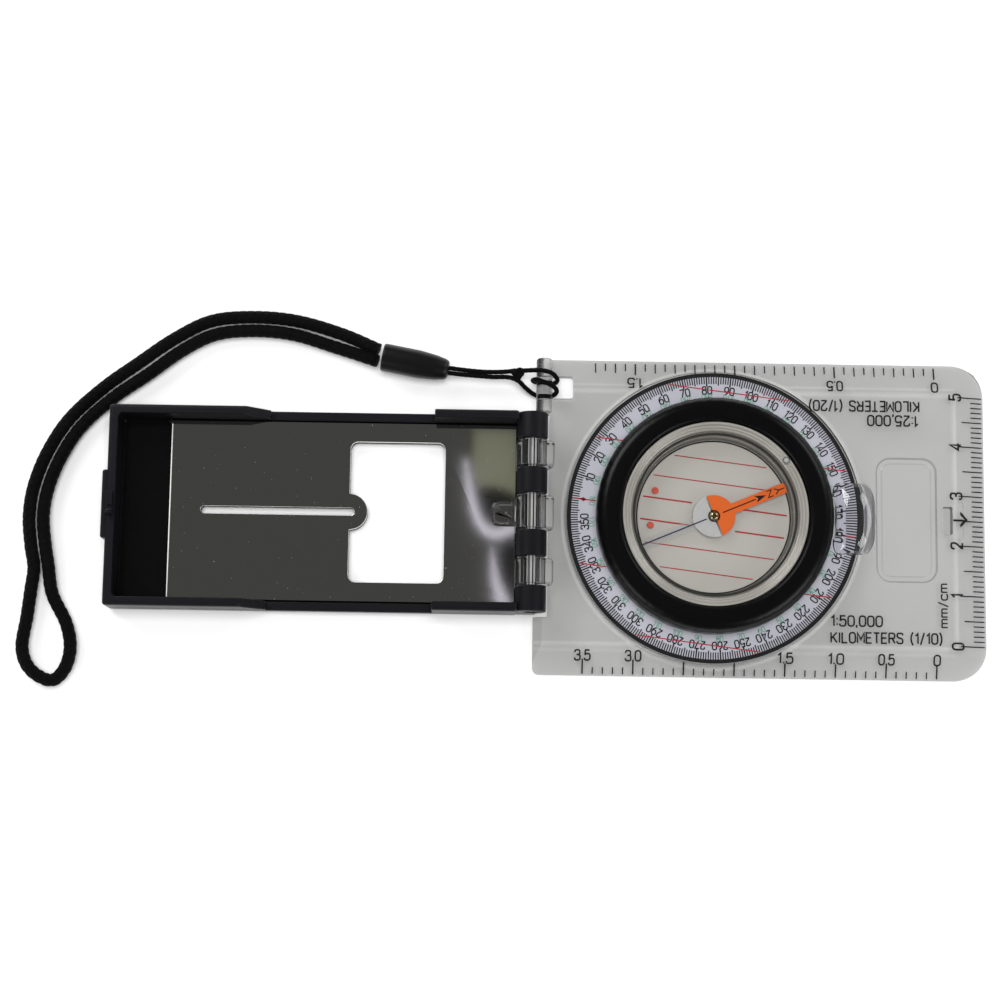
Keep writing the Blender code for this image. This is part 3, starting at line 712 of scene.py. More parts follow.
def makeKnot():
    low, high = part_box("tether_knot")
    centre = (low + high) / 2
    thick = lanyard["tetherDiameter"] * 0.5
    reach = (high.x - low.x) / 2 - thick
    shape = [(sin(t) + 2 * sin(2 * t), cos(t) - 2 * cos(2 * t), -sin(3 * t))
             for t in [2 * pi * step / 120 for step in range(121)]]
    points = [centre + Vector((x * reach / 3, y * reach / 3, z * reach * 0.5)) for x, y, z in shape]
    item = tube("tether_knot_wound", points, lambda distance, angle: thick, 20)
    return hang(item, "base", "cord", "black_cord", "tether_knot", smooth=60)


def makeSleeve():
    start, end = Vector(lanyard["sleeveStart"]), Vector(lanyard["sleeveEnd"])
    length = (end - start).length
    profile = [(0.0, 0.0), (0.0012, 0.0), (0.0022, 0.0005), (0.0026, 0.0), (0.0028, 0.0004), (0.0028, length * 0.55),
               (0.0025, length * 0.8), (0.0021, length * 0.95), (0.0017, length), (0.0010, length),
               (0.0, length - 0.0008)]
    item = lathe("rubber_sleeve", roundOff(profile, 0.0004, 3), 72, (0.0, 0.0))
    turn = (end - start).to_track_quat("Z", "Y").to_matrix().to_4x4()
    item.data.transform(Matrix.Translation(start) @ turn)
    return hang(item, "base", "sleeve", "sleeve_rubber", "cord_sleeve", smooth=50)


makeCards()
print("studio ready")
makeWristCord([makeSleeve()])
makeTether([makeKnot()])
print("lanyard made")


plate = {
    "border": 0.0062, "rimHeight": 0.0012, "cornerRadius": 0.0067, "leftCorner": 0.0014, "edgeSoftness": 0.00014,
    "recessRadius": 0.0296, "recessFloor": 0.0015, "seatHole": 0.0170, "clipHole": 0.0190, "clipDepth": 0.0009,
    "left": -0.0024, "leftSlope": (0.0019, -33), "lugX": -0.0007, "lugRadius": 0.0016, "lugHeight": 0.0030,
    "lugSlot": (0.0235, 0.0282), "lugStart": 0.0205, "slotReach": 0.0051,
    "lensPocket": ((0.0655, 0.0778), (-0.0126, 0.0126)), "latchSlot": ((0.0789, 0.0808), (-0.0028, 0.0028)),
    "latchFloor": 0.0004, "frameRise": 0.00012, "arm": (0.0008, 0.0044), "armBottom": 0.0004, "armRise": 0.0012,
    "barrelRadius": 0.00305, "pinHole": 0.0014, "knuckles": (0.0055, 0.0070), "gap": 0.0003,
}


def knuckleSpans():
    short, middle = plate["knuckles"]
    lengths = [short] * 3 + [middle] + [short] * 3
    high = centreY + sum(lengths) / 2
    spans = []
    for length in lengths:
        spans.append((high - length + plate["gap"] / 2, high - plate["gap"] / 2))
        high -= length
    return spans


def borderWedge(turn, middle, reach):
    slope = atan2(plateTop - plate["rimHeight"], plate["border"])
    item = block("wedge", (-reach, reach), (-plate["border"], 0.01), (0.0, 0.01))
    item.data.transform(Matrix.Translation((*middle, plateTop)) @ Matrix.Rotation(turn, 4, "Z")
                        @ Matrix.Translation((0, -plate["border"], 0)) @ Matrix.Rotation(-slope, 4, "X")
                        @ Matrix.Translation((0, plate["border"], 0)))
    return item


def hollow(item, radius, low, high, sides=192):
    return carve(item, rod("hollow", radius, (dialX, centreY, low), (dialX, centreY, high), sides))


def mapLensCutter():  # a groove, and a low dome inside it
    pocketX, pocketY = plate["lensPocket"]
    rings = []
    for inset, depth in ((-0.0002, -0.0005), (0.0001, 0.0001), (0.0004, 0.00042), (0.0008, 0.00048), (0.0011, 0.00042),
                         (0.0014, 0.00018), (0.0019, 0.00013), (0.0028, 0.00010), (0.0038, 0.00008), (0.0048, 0.00007)):
        outline = roundedOutline((pocketX[0] + inset, pocketX[1] - inset), (pocketY[0] + inset, pocketY[1] - inset),
                                 [max(0.0008, 0.0030 - inset)] * 4, 12)
        rings.append([(x, y, plateTop - depth) for x, y in outline])
    wide = [(x, y, plateTop + 0.002) for x, y, z in rings[0]]
    return loft("pocket", [wide] + rings)


def makeBasePlate():
    spans = knuckleSpans()
    halfWidth = plateHigh.y
    left, right = plate["left"], plateHigh.x
    slopeStart, slope = plate["leftSlope"]
    outline = roundedOutline((left, right), (-halfWidth, halfWidth), [
        plate["cornerRadius"], 0.0002, plate["leftCorner"], plate["cornerRadius"]], 24)
    item = prism("clear_base_plate", outline, 0.0, plateTop)
    carve(item, borderWedge(0.0, (0.05, halfWidth), 0.0501))
    carve(item, borderWedge(pi, (0.04, -halfWidth), 0.0603))
    carve(item, borderWedge(-pi / 2, (right, 0.0), 0.0402))
    edge = block("edge", (-0.004, 0.0), (-0.04, 0.04), (0.0, 0.01))  # the short slope along the left edge
    edge.data.transform(Matrix.Translation((left + slopeStart, 0, plateTop)) @ Matrix.Rotation(radians(slope), 4, "Y"))
    carve(item, edge)
    item = soften(item, plate["edgeSoftness"], 2, 10)
    notch = (spans[-1][0] - 2 * plate["gap"], spans[0][1] + 2 * plate["gap"])
    carve(item, block("notch", (-0.01, hingeX + plate["barrelRadius"] + plate["gap"]), notch, (-0.01, 0.01)))
    slotOutside = roundedOutline((-0.011, plate["slotReach"]), plate["lugSlot"], [0.0006] * 4)
    carve(item, prism("slotCut", slotOutside, -0.011, 0.011))
    carve(item, block("corner", (-0.012, plate["lugX"]), (plate["lugStart"] - plate["gap"], 0.05), (-0.012, 0.012)))
    top = halfWidth - 0.0002
    lug = rod("lug", plate["lugRadius"], (plate["lugX"], plate["lugStart"], plate["lugHeight"]),
              (plate["lugX"], top, plate["lugHeight"]), 48)
    carve(item, soften(lug, 0.0005, 4), "UNION")
    for span in spans[1::2]:
        armX, armZ = [hingeX + reach for reach in plate["arm"]], (plate["armBottom"], hingeZ + plate["armRise"])
        arm = block("arm", armX, span, armZ)
        carve(item, soften(arm, 0.0008, 5), "UNION")
        barrel = rod("barrel", plate["barrelRadius"], (hingeX, span[0], hingeZ), (hingeX, span[1], hingeZ), 72)
        carve(item, soften(barrel, 0.00025, 2), "UNION")
    carve(item, rod("pinHole", plate["pinHole"], (hingeX, -0.025, hingeZ), (hingeX, 0.025, hingeZ), 48))
    hollow(item, plate["recessRadius"], plate["recessFloor"], 0.01, 256)
    hollow(item, plate["seatHole"], -0.005, 0.005)
    hollow(item, plate["clipHole"], -plate["clipDepth"], plate["clipDepth"])
    carve(item, mapLensCutter())
    latchX, latchY = plate["latchSlot"]
    frameX, frameY = (latchX[0] - 0.0012, latchX[1] + 0.0021), (latchY[0] - 0.0009, latchY[1] + 0.0009)
    frameTop = plateTop + plate["frameRise"]
    carve(item, prism("latchFrame", roundedOutline(frameX, frameY, [0.0004] * 4, 5), 0.0006, frameTop), "UNION")
    carve(item, prism("latchCut", roundedOutline(latchX, latchY, [0.0003] * 4, 4), plate["latchFloor"], 0.01))
    hang(item, "base", "plate", "clear_acrylic", "base_plate", smooth=28, flat=True)


magnifier = {"steps": 44, "sideWall": 0.0003, "endRound": 0.0013}


def makeDialMagnifier():  # a domed bar lens over the ring's edge
    low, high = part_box("dial_magnifier")
    steps = magnifier["steps"]
    rings = []
    for step in range(steps + 1):
        t = -cos(pi * step / steps) * 0.995
        y = centreY + t * (high.y - low.y) / 2
        tall = (high.z - low.z - magnifier["sideWall"]) * max(0.0, 1 - abs(t) ** 2.2) ** 0.55
        far = min(high.x, dialX + sqrt((high.x - dialX) ** 2 - (y - centreY) ** 2))
        far -= magnifier["endRound"] * abs(t) ** 6
        near = dialX + sqrt((low.x - dialX) ** 2 - (y - centreY) ** 2 * 0.6)
        near = max(near, low.x - 0.0010) + magnifier["endRound"] * abs(t) ** 6
        middle, half = (near + far) / 2, (far - near) / 2
        section = [(near, low.z), (far, low.z)]
        bow = (half * half + tall * tall) / (2 * tall)  # the radius of the arc over the bar
        spread = asin(min(1.0, half / bow))
        for turn in range(25):
            lean = spread * (1 - turn / 12)
            section.append((middle + bow * sin(lean), low.z + magnifier["sideWall"] + tall - bow * (1 - cos(lean))))
        rings.append([(x, y, z) for x, z in section])
    item = loft("dial_lens_bar", rings)
    hang(item, "base", "dome", "clear_acrylic", "dial_magnifier", smooth=60)


makeBasePlate()
makeDialMagnifier()
print("clear plate made")


printing = {"lift": 0.00001, "depth": 0.00004, "weight": 0.165, "squeeze": 0.8, "space": 1.5}


def level(height):
    return lambda x, y: height


def surfaceZ(x, y):  # the height of the plate under a mark
    into = max(abs(y) - (plateHigh.y - plate["border"]), x - (plateHigh.x - plate["border"]), 0.0)
    return plateTop - into * (plateTop - plate["rimHeight"]) / plate["border"]


# each sign: its width, then its lines as (corner radius, closed, points), on a grid 6 high
signs = {
    "0": (4, [(1.9, True, [(0, 0), (4, 0), (4, 6), (0, 6)])]),
    "1": (2.2, [(0, False, [(0.3, 4.6), (1.9, 6), (1.9, 0)])]),
    "2": (4, [(1.7, False, [(0.1, 4.3), (0.1, 6), (3.9, 6), (3.9, 3.6), (0.2, 0.2)]), (0, False, [(0, 0), (4, 0)])]),
    "3": (4, [(1.5, False, [(0.1, 4.6), (0.1, 6), (3.8, 6), (3.8, 3.2), (1.4, 3.2)]),
              (1.6, False, [(1.4, 3.2), (4, 3.2), (4, 0), (0, 0), (0, 1.5)])]),
    "4": (4.2, [(0, False, [(3.1, 0), (3.1, 6), (0, 1.6), (4.2, 1.6)])]),
    "5": (4, [(0, False, [(3.7, 6), (0.6, 6), (0.3, 3.0)]),
              (1.8, False, [(0.3, 3.0), (1.0, 3.9), (4, 3.9), (4, 0), (0, 0), (0, 1.4)])]),
    "6": (4, [(1.8, True, [(0, 0), (4, 0), (4, 3.7), (0, 3.7)]), (1.5, False, [(0, 2.0), (0, 4.2), (3.0, 6)])]),
    "7": (4, [(0, False, [(0, 6), (4, 6), (1.4, 0)])]),
    "8": (4, [(1.4, True, [(0.3, 3.2), (3.7, 3.2), (3.7, 6), (0.3, 6)]),
              (1.6, True, [(0, 0), (4, 0), (4, 3.2), (0, 3.2)])]),
    "9": (4, [(1.8, True, [(0, 2.3), (4, 2.3), (4, 6), (0, 6)]), (1.5, False, [(4, 4.0), (4, 1.8), (1.0, 0)])]),
    "K": (4, [(0, False, [(0, 0), (0, 6)]), (0, False, [(3.9, 6), (0, 2.3)]), (0, False, [(1.3, 3.4), (4, 0)])]),
    "I": (0.6, [(0, False, [(0.3, 0), (0.3, 6)])]),
    "L": (3.6, [(0, False, [(0, 6), (0, 0), (3.6, 0)])]),
    "O": (4, [(1.9, True, [(0, 0), (4, 0), (4, 6), (0, 6)])]),
    "M": (4.6, [(0, False, [(0, 0), (0, 6), (2.3, 2.0), (4.6, 6), (4.6, 0)])]),
    "E": (3.6, [(0, False, [(3.6, 6), (0, 6), (0, 0), (3.6, 0)]), (0, False, [(0, 3.1), (3.2, 3.1)])]),
    "T": (4, [(0, False, [(0, 6), (4, 6)]), (0, False, [(2, 6), (2, 0)])]),
    "R": (4, [(1.5, False, [(0, 0), (0, 6)]), (1.5, False, [(0, 6), (3.9, 6), (3.9, 2.9), (0, 2.9)]),
              (0, False, [(2.1, 2.9), (4, 0)])]),
    "S": (4, [(1.5, False, [(3.9, 4.8), (3.9, 6), (0.1, 6), (0.1, 3.6), (3.9, 2.7), (3.9, 0), (0, 0), (0, 1.4)])]),
    "N": (4, [(0, False, [(0, 0), (0, 6), (4, 0), (4, 6)])]),
    "m": (5, [(0, False, [(0, 0), (0, 4.2)]), (1.0, False, [(0, 4.0), (2.5, 4.0), (2.5, 0)]),
              (1.0, False, [(2.5, 4.0), (5, 4.0), (5, 0)])]),
    "c": (3.4, [(1.6, False, [(3.4, 3.2), (3.4, 4.1), (0, 4.1), (0, 0), (3.4, 0), (3.4, 0.9)])]),
    "(": (1.6, [(2.5, False, [(1.6, 6.8), (0.2, 4.6), (0.2, 1.2), (1.6, -1.0)])]),
    ")": (1.6, [(2.5, False, [(0, 6.8), (1.4, 4.6), (1.4, 1.2), (0, -1.0)])]),
    "/": (2.6, [(0, False, [(0, -0.6), (2.6, 6.6)])]),
    ":": (0.6, [(0, False, [(0.3, 0.6), (0.3, 1.4)]), (0, False, [(0.3, 3.9), (0.3, 4.7)])]),
    ".": (0.3, [(0, False, [(0.15, -0.1), (0.15, 0.8)])]),
    ",": (0.6, [(0, False, [(0.3, 0.7), (0.0, -1.0)])]),
    " ": (2.4, []),
}


def rounded(points, radius, closed):  # the line of a sign with its corners rounded, but for its ends
    result = []
    last = len(points) - 1
    for index, corner in enumerate(points):
        if radius == 0 or (not closed and index in (0, last)):
            result.append(Vector(corner))
        else:
            result += bend(points, index, radius, 0.499 if closed or 1 < index < last - 1 else 0.9, 6)
    return [point for index, point in enumerate(result) if index == 0 or (point - result[index - 1]).length > 1e-9]


def ribbon(shape, points, width, closed):  # a flat line of even width, z 0 to 1
    count = len(points)
    rows = []
    for index, point in enumerate(points):
        before = points[index - 1] if closed or index else None
        after = points[(index + 1) % count] if closed or index < count - 1 else None
        ways = [(point - before).normalized()] if before else []
        ways += [(after - point).normalized()] if after else []
        along = sum(ways, Vector((0, 0)))
        along = along.normalized() if along.length > 1e-6 else ways[0]
        side = Vector((-along.y, along.x)) * width / 2 / max(0.45, along.dot(ways[0]))
        rows.append([shape.verts.new((*spot, z)) for spot, z in (
            (point - side, 0), (point + side, 0), (point + side, 1), (point - side, 1))])
    for first, second in zip(rows, rows[1:] + (rows[:1] if closed else [])):
        for corner in range(4):
            after = (corner + 1) % 4
            shape.faces.new((first[corner], first[after], second[after], second[corner]))
    if not closed:
        shape.faces.new(rows[0][::-1])
        shape.faces.new(rows[-1])


def lettering(text, height, place, turn=0.0, width=None, align="CENTER"):
    weight, squeeze, space = printing["weight"], printing["squeeze"], printing["space"]
    lines = []
    reach = 0.0
    for sign in text:
        across, parts = signs[sign]
        for radius, closed, points in parts:
            lines.append((closed, [Vector((x + reach, y)) for x, y in rounded(points, radius, closed)]))
        reach += across + space
    reach -= space
    up = height / 6
    along = width / reach if width else up * squeeze
    start = 0.0 if align == "LEFT" else -reach / 2
    angle = radians(turn)
    shape = bmesh.new()
    for closed, points in lines:
        placed = []
        for point in points:
            x, y = (point.x + start) * along, (point.y - 3) * up
            placed.append(Vector((x * cos(angle) - y * sin(angle), x * sin(angle) + y * cos(angle))) + Vector(place))
        ribbon(shape, placed, height * weight, closed)
    return meshFrom(shape, "lettering")


def strokes(outlines):
    shape = bmesh.new()
    for outline in outlines:
        low = [shape.verts.new((x, y, 0)) for x, y in outline]
        high = [shape.verts.new((x, y, 1)) for x, y in outline]
        shape.faces.new(low[::-1])
        shape.faces.new(high)
        for index in range(len(outline)):
            after = (index + 1) % len(outline)
            shape.faces.new((low[index], low[after], high[after], high[index]))
    return meshFrom(shape, "strokes")


def printOn(name, marks, heightAt, body, finish, slot):  # lays flat marks (z 0 to 1) on a surface
    item = joined(name, marks)
    for vert in item.data.vertices:
        vert.co.z = heightAt(vert.co.x, vert.co.y) + printing["lift"] + vert.co.z * printing["depth"]
    return hang(item, body, finish, slot)


def bar(start, end, width):
    start, end = Vector(start), Vector(end)
    side = (end - start).normalized()
    side = Vector((-side.y, side.x)) * width / 2
    return [tuple(point) for point in (start - side, end - side, end + side, start + side)]


rulers = {
    "thin": 0.00025, "thick": 0.00031, "rightEdge": 0.0004, "topEdge": 0.00035, "zero": 0.0775, "topShift": 0.0001,
    "step": 0.002, "cmHeight": 0.0023, "cmStart": -0.025, "scaleHeight": 0.00195, "numberWidth": 0.0012,
    "decimalWidth": 0.0018, "cmReach": (0.0050, 0.0042, 0.0023), "bottomReach": (0.0026, 0.0013),
    "topReach": (0.0024, 0.0020, 0.0016), "shaft": ((0.0809, 0.0001), (0.0838, 0.0001), 0.00042), "arrowY": 0.0003,
    "barb": [(0.0840, 0.0), (0.0824, 0.0016), (0.0823, 0.0011), (0.0826, 0.0006), (0.0834, 0.0)],
    "bottomNumbers": {0: "0", 5: "0.5", 10: "1.0", 15: "1.5", 30: "3.0", 35: "3.5"},
    "topNumbers": {0: "0", 10: "0.5", 30: "1.5"},
    "texts": [  # words, height, place, turn, width
        ("1:50,000", 0.0020, (0.0565, -0.0203), 0, 0.0101), ("KILOMETERS (1/10)", 0.0020, (0.0565, -0.0236), 0, 0.0219),
        ("1:25,000", 0.0020, (0.0742, 0.0200), 180, 0.0101),
        ("KILOMETERS (1/20)", 0.0020, (0.0743, 0.0229), 180, 0.0219),
        ("mm/cm", 0.0017, (0.0787, -0.0213), 90, 0.0086)],
}


def makeRulerPrint():
    thin, thick = rulers["thin"], rulers["thick"]
    right, half = plateHigh.x - rulers["rightEdge"], plateHigh.y - rulers["topEdge"]
    zeros = {-1: rulers["zero"], 1: rulers["zero"] + rulers["topShift"]}
    lines = []
    for mark in range(51):  # centimetres up the right edge
        y = rulers["cmStart"] + 0.001 * mark
        reach = rulers["cmReach"][0 if mark % 10 == 0 else 1 if mark % 5 == 0 else 2]
        lines.append(bar((right, y), (right - reach, y), thin))
    for mark in range(36):  # 1:50,000 along the bottom edge
        x = zeros[-1] - rulers["step"] * mark
        reach = rulers["bottomReach"][mark % 5 > 0]
        lines.append(bar((x, -half), (x, -half + reach), thin if mark % 5 else thick))
    top = half - 0.0003
    for mark in range(35):  # 1:25,000 along the top edge
        x = zeros[1] - rulers["step"] * mark
        reach = rulers["topReach"][0 if mark % 10 == 0 else 1 if mark % 2 == 0 else 2]
        lines.append(bar((x, top), (x, top - reach), thin if mark % 10 else thick))
    lines.append(bar(*rulers["shaft"]))
    for side in (-1, 1):
        lines.append([(x, rulers["arrowY"] + side * y) for x, y in rulers["barb"]][::side])
    marks = [strokes(lines)]
    for number in range(6):
        marks.append(lettering(str(number), rulers["cmHeight"], (0.0816, rulers["cmStart"] + 0.010 * number), 90))
    for side, y, turn, numbers in ((-1, -0.0278, 0, rulers["bottomNumbers"]), (1, 0.0270, 180, rulers["topNumbers"])):
        for mark, text in numbers.items():
            width = rulers["numberWidth"] + rulers["decimalWidth"] * (len(text) > 1)
            spot = (zeros[side] - rulers["step"] * mark, y)
            marks.append(lettering(text, rulers["scaleHeight"], spot, turn, width))
    for text, height, spot, turn, width in rulers["texts"]:
        marks.append(lettering(text, height, spot, turn, width, "LEFT"))
    printOn("ruler_print", marks, surfaceZ, "base", "black", "bezel_black")


makeRulerPrint()
print("rulers printed")


dial = {
    "meridian": 173.0, "border": 0.00085, "tickLong": 0.00195, "tickMiddle": 0.0017, "tickShort": 0.0014,
    "tickThick": 0.00028, "tickThin": 0.00023, "numberRadius": 0.02565, "numberHeight": 0.0015,
    "innerRadius": 0.0243, "innerHeight": 0.00105, "redWidth": 0.00022, "redOffsets": (0.0128, 0.0254),
    "ribs": 60, "ribDepth": 0.00005, "bezelInner": 0.0186, "bezelOuter": 0.0235, "bezelTop": 0.0090,
    "cupRadius": 0.0183, "lineMargin": 0.0009, "hubGap": 0.0046,
    "cup": [(0.0, 0.0022), (0.0158, 0.0022), (0.0158, 0.0052), (0.0166, 0.0052), (0.0166, 0.0074), (0.0168, 0.0076),
            (0.0170, 0.0076), (0.0172, 0.0079), (0.0176, 0.0079), (0.0178, 0.0083), (0.0183, 0.0083),
            (0.0183, 0.0018), (0.0167, 0.0018), (0.0167, 0.0009), (0.0, 0.0009)],
}


def onDial(radius, bearing):  # a point at a bearing, counted clockwise from the 0 mark
    angle = radians(dial["meridian"] - bearing)
    return (dialX + radius * cos(angle), centreY + radius * sin(angle))


def alongMeridian(along, offset):
    angle = radians(dial["meridian"])
    return (dialX + along * cos(angle) - offset * sin(angle), centreY + along * sin(angle) + offset * cos(angle))


def ringPolygon(inner, outer, steps=180):
    polygons = []
    for step in range(steps):
        first, second = 360 * step / steps, 360 * (step + 1) / steps
        polygons.append([onDial(outer, second), onDial(outer, first), onDial(inner, first), onDial(inner, second)])
    return polygons


def makeDialRing():
    inner = dial["cupRadius"] + plate["gap"]
    outer = ringHigh.x - dialX
    profile = roundOff([(inner, ringLow.z), (inner, plateTop), (outer, plateTop), (outer, ringLow.z)], 0.00012, 3)
    item = lathe("printed_dial_ring", profile, 256)
    hang(item, "dial", "ring", "dial_white", "dial_ring")

    black = ringPolygon(outer - dial["border"], outer - 0.00004)
    for bearing in range(360):
        size = "tickShort" if bearing % 5 else "tickMiddle" if bearing % 10 else "tickLong"
        start, end = outer - dial["border"] - 0.00001, outer - dial["border"] - dial[size]
        width = dial["tickThin" if bearing % 10 else "tickThick"]
        black.append(bar(onDial(start, bearing), onDial(end, bearing), width))
    marks = [strokes(black)]
    green = []
    for bearing in range(0, 360, 10):
        facing = dial["meridian"] - bearing - 90
        if bearing:
            marks.append(lettering(str(bearing), dial["numberHeight"], onDial(dial["numberRadius"], bearing), facing))
        opposite = (bearing + 180) % 360
        green.append(lettering(str(opposite), dial["innerHeight"], onDial(dial["innerRadius"], bearing), facing + 180))
    printOn("dial_black_print", marks, level(plateTop), "dial", "black", "bezel_black")
    printOn("dial_green_print", green, level(plateTop), "dial", "green", "dial_white")

    red = []
    reach, width = outer - dial["border"] - 0.0002, dial["redWidth"]
    near, far = dial["redOffsets"]
    for end, inside in ((1, 0.0236), (-1, 0.0268)):
        red.append(bar(alongMeridian(end * inside, 0), alongMeridian(end * reach, 0), width))
        if end == 1:
            red.append([alongMeridian(along, offset) for along, offset in (
                (0.0268, 0), (0.0261, 0.00042), (0.0254, 0), (0.0261, -0.00042))])
        for offset in (-near, near):
            red.append(bar(alongMeridian(end * sqrt(0.0236 ** 2 - offset ** 2), offset),
                           alongMeridian(end * sqrt(reach ** 2 - offset ** 2), offset), width))
    for offset in (-far, far):
        half = sqrt(reach ** 2 - offset ** 2)
        red.append(bar(alongMeridian(-half, offset), alongMeridian(half, offset), 0.0002))
    printOn("dial_red_print", [strokes(red)], level(plateTop + 0.00002), "dial", "red", "luminous_paint")


def makeBezel():
    inner, outer, top, bottom = dial["bezelInner"], dial["bezelOuter"], dial["bezelTop"], plateTop + plate["gap"]
    profile = [(inner + 0.0001, bottom), (inner, bottom + 0.0002)]
    profile += arc((inner + 0.0007, top - 0.0007), 0.0007, 180, 90, 6)
    profile += [(inner + 0.0014, top - 0.00004)]
    profile += arc((outer - 0.0025, top - 0.0026), 0.0025, 82, 12, 12)
    profile += [(outer, top - 0.0036), (outer, bottom + 0.0004), (outer - 0.0004, bottom)]
    item = lathe("grip_bezel", profile, 864)
    for vert in item.data.vertices:
        x, y = vert.co.x - dialX, vert.co.y - centreY
        radius = sqrt(x * x + y * y)
        weight = min(1.0, max(0.0, (radius - outer + 0.0019) / 0.0012))
        if weight > 0 and vert.co.z > bottom + 0.0001:
            wave = abs(cos(dial["ribs"] / 2 * atan2(y, x))) ** 6
            shrink = 1 - dial["ribDepth"] * weight * wave / radius
            vert.co.x, vert.co.y = dialX + x * shrink, centreY + y * shrink
    hang(item, "dial", "bezel", "bezel_black", "bezel_grip", smooth=50)


def makeCapsule():
    low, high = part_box("fill_plug")
    plug = (low + high) / 2
    item = lathe("capsule_shell", roundOff(dial["cup"], 0.00012, 3), 192)
    carve(item, rod("bore", 0.0008, (plug.x, plug.y, 0.0075), (plug.x, plug.y, 0.0091), 40))
    hang(item, "dial", "rim", "clear_acrylic", "capsule_cup", smooth=50)
    radius = (high.x - low.x) / 2
    knob = [(0.0, high.z), (radius * 0.7, high.z), (radius, high.z - 0.0002), (radius, low.z), (0.0, low.z)]
    item = lathe("fill_plug_pin", roundOff(knob, 0.0001, 3), 40, (plug.x, plug.y))
    hang(item, "dial", "plug", "plug_grey", "fill_plug", smooth=50)

    low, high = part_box("capsule_lens")
    radius = high.x - dialX
    pane = [(0.0, high.z), (radius - 0.0003, high.z), (radius, high.z - 0.0002), (radius, low.z), (0.0, low.z)]
    item = lathe("capsule_window", pane, 192)
    hang(item, "dial", "pane", "clear_acrylic", "capsule_lens", smooth=30)

    low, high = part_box("capsule_gasket")
    outer = high.x - dialX
    middle, half = (low.z + high.z) / 2, (high.z - low.z) / 2
    ring = [(outer - half + half * cos(radians(a)), middle + half * sin(radians(a))) for a in range(0, 360, 20)]
    item = lathe("capsule_seal", ring, 192)
    hang(item, "dial", "gasket", "gasket_rubber", "capsule_gasket", smooth=60)

    low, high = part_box("dial_retainer")
    outer = high.x - dialX
    clip = [(outer - 0.0001, high.z), (outer, low.z), (0.0146, low.z), (0.0145, low.z + 0.0001), (0.0145, high.z)]
    item = lathe("retainer_clip", roundOff(clip, 0.0001, 2), 160)
    hang(item, "dial", "retainer", "clear_acrylic", "dial_retainer", smooth=50)


def makeOrientingDisc():
    low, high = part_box("orienting_disc")
    radius = high.x - dialX
    disc = [(0.0, high.z), (radius - 0.00005, high.z), (radius, high.z - 0.00008), (radius, low.z), (0.0, low.z)]
    item = lathe("orienting_card", disc, 160)
    hang(item, "dial", "disc", "disc_white", "orienting_disc")
    red = []
    for offset, width in ((0.00227, 0.0003), (0.0068, 0.0002), (0.0113, 0.0002)):
        for side in (-1, 1):
            half, hub = sqrt((radius - dial["lineMargin"]) ** 2 - offset ** 2), dial["hubGap"]
            breaks = [(-half, half)] if offset > 0.003 else [(-half, -hub), (hub, half)]
            for start, end in breaks:
                red.append(bar(alongMeridian(start, side * offset), alongMeridian(end, side * offset), width))
    printOn("orienting_lines", [strokes(red)], level(high.z), "dial", "red", "luminous_paint")
    # a dark ring round the card's rim
    dark = strokes(ringPolygon(radius - 0.00038, radius - 0.0001, 160))
    printOn("card_border", [dark], level(high.z), "dial", "black", "bezel_black")
    for number in (1, 2):
        low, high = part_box(f"luminous_dot_{number}")
        centre = (low + high) / 2
        radius = (high.x - low.x) / 2
        drop = [(0.0, high.z), (radius * 0.6, high.z - 0.00002), (radius * 0.9, high.z - 0.00009), (radius, low.z),
                (0.0, low.z)]
        item = lathe(f"luminous_bead_{number}", drop, 48, (centre.x, centre.y))
        hang(item, "dial", "dot", "luminous_paint", f"luminous_dot_{number}", smooth=60)
    low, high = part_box("pivot_post")
    post = [(0.0, high.z), (0.00003, high.z - 0.0001), (0.0003, low.z + 0.0011), (0.0003, low.z + 0.0003),
            (0.0008, low.z + 0.0001), (0.0008, low.z), (0.0, low.z)]
    item = lathe("pivot_pin", post, 40)
    hang(item, "dial", "steel", "steel", "pivot_post", smooth=50)


makeDialRing()
makeBezel()
makeCapsule()
makeOrientingDisc()
print("dial made")


needle = {
    "angle": 22.9, "length": 0.0154, "bottom": 0.0042, "top": 0.0044, "hubRadius": 0.0042, "armHalf": 0.00105,
    "capHole": 0.0012, "edge": 0.00015, "magnet": (0.0038, 0.0014), "magnetZ": (0.0034, 0.0038),
    "shaft": (0.0019, 0.0090, 0.00022), "arrow": [(0.0112, 0), (0.0089, 0.0007), (0.0095, 0), (0.0089, -0.0007)],
    "fork": [(0.0151, 0.00001), (0.0131, 0.0006), (0.0131, -0.0006)], "forkStart": 0.0139, "forkWidth": 0.00020,
    "southLine": (-0.0016, -0.0153, 0.00024),
    "cap": [(0.0, 0.0052), (0.0004, 0.00518), (0.0007, 0.00505), (0.00088, 0.0048), (0.0009, 0.0044),
            (0.0009, 0.0041), (0.0006, 0.0041), (0.0006, 0.0049), (0.0, 0.0049)],
}


def onNeedle(along, across=0.0):
    angle = radians(needle["angle"])
    return (dialX + along * cos(angle) - across * sin(angle), centreY + along * sin(angle) + across * cos(angle))


def bladeOutline(side):
    half, hub, reach = needle["armHalf"], needle["hubRadius"], needle["length"]
    spread = degrees(asin(half / hub))
    start = degrees(asin(needle["edge"] / hub))
    hole = degrees(asin(needle["edge"] / needle["capHole"]))
    points = arc((0, 0), hub, -90 + start, -spread, 24)
    points += [(reach - 0.0003, -half), (reach, -half * 0.6), (reach, half * 0.6), (reach - 0.0003, half)]
    points += arc((0, 0), hub, spread, 90 - start, 24) + arc((0, 0), needle["capHole"], 90 - hole, -90 + hole, 24)
    return [onNeedle(side * x, side * y) for x, y in points]


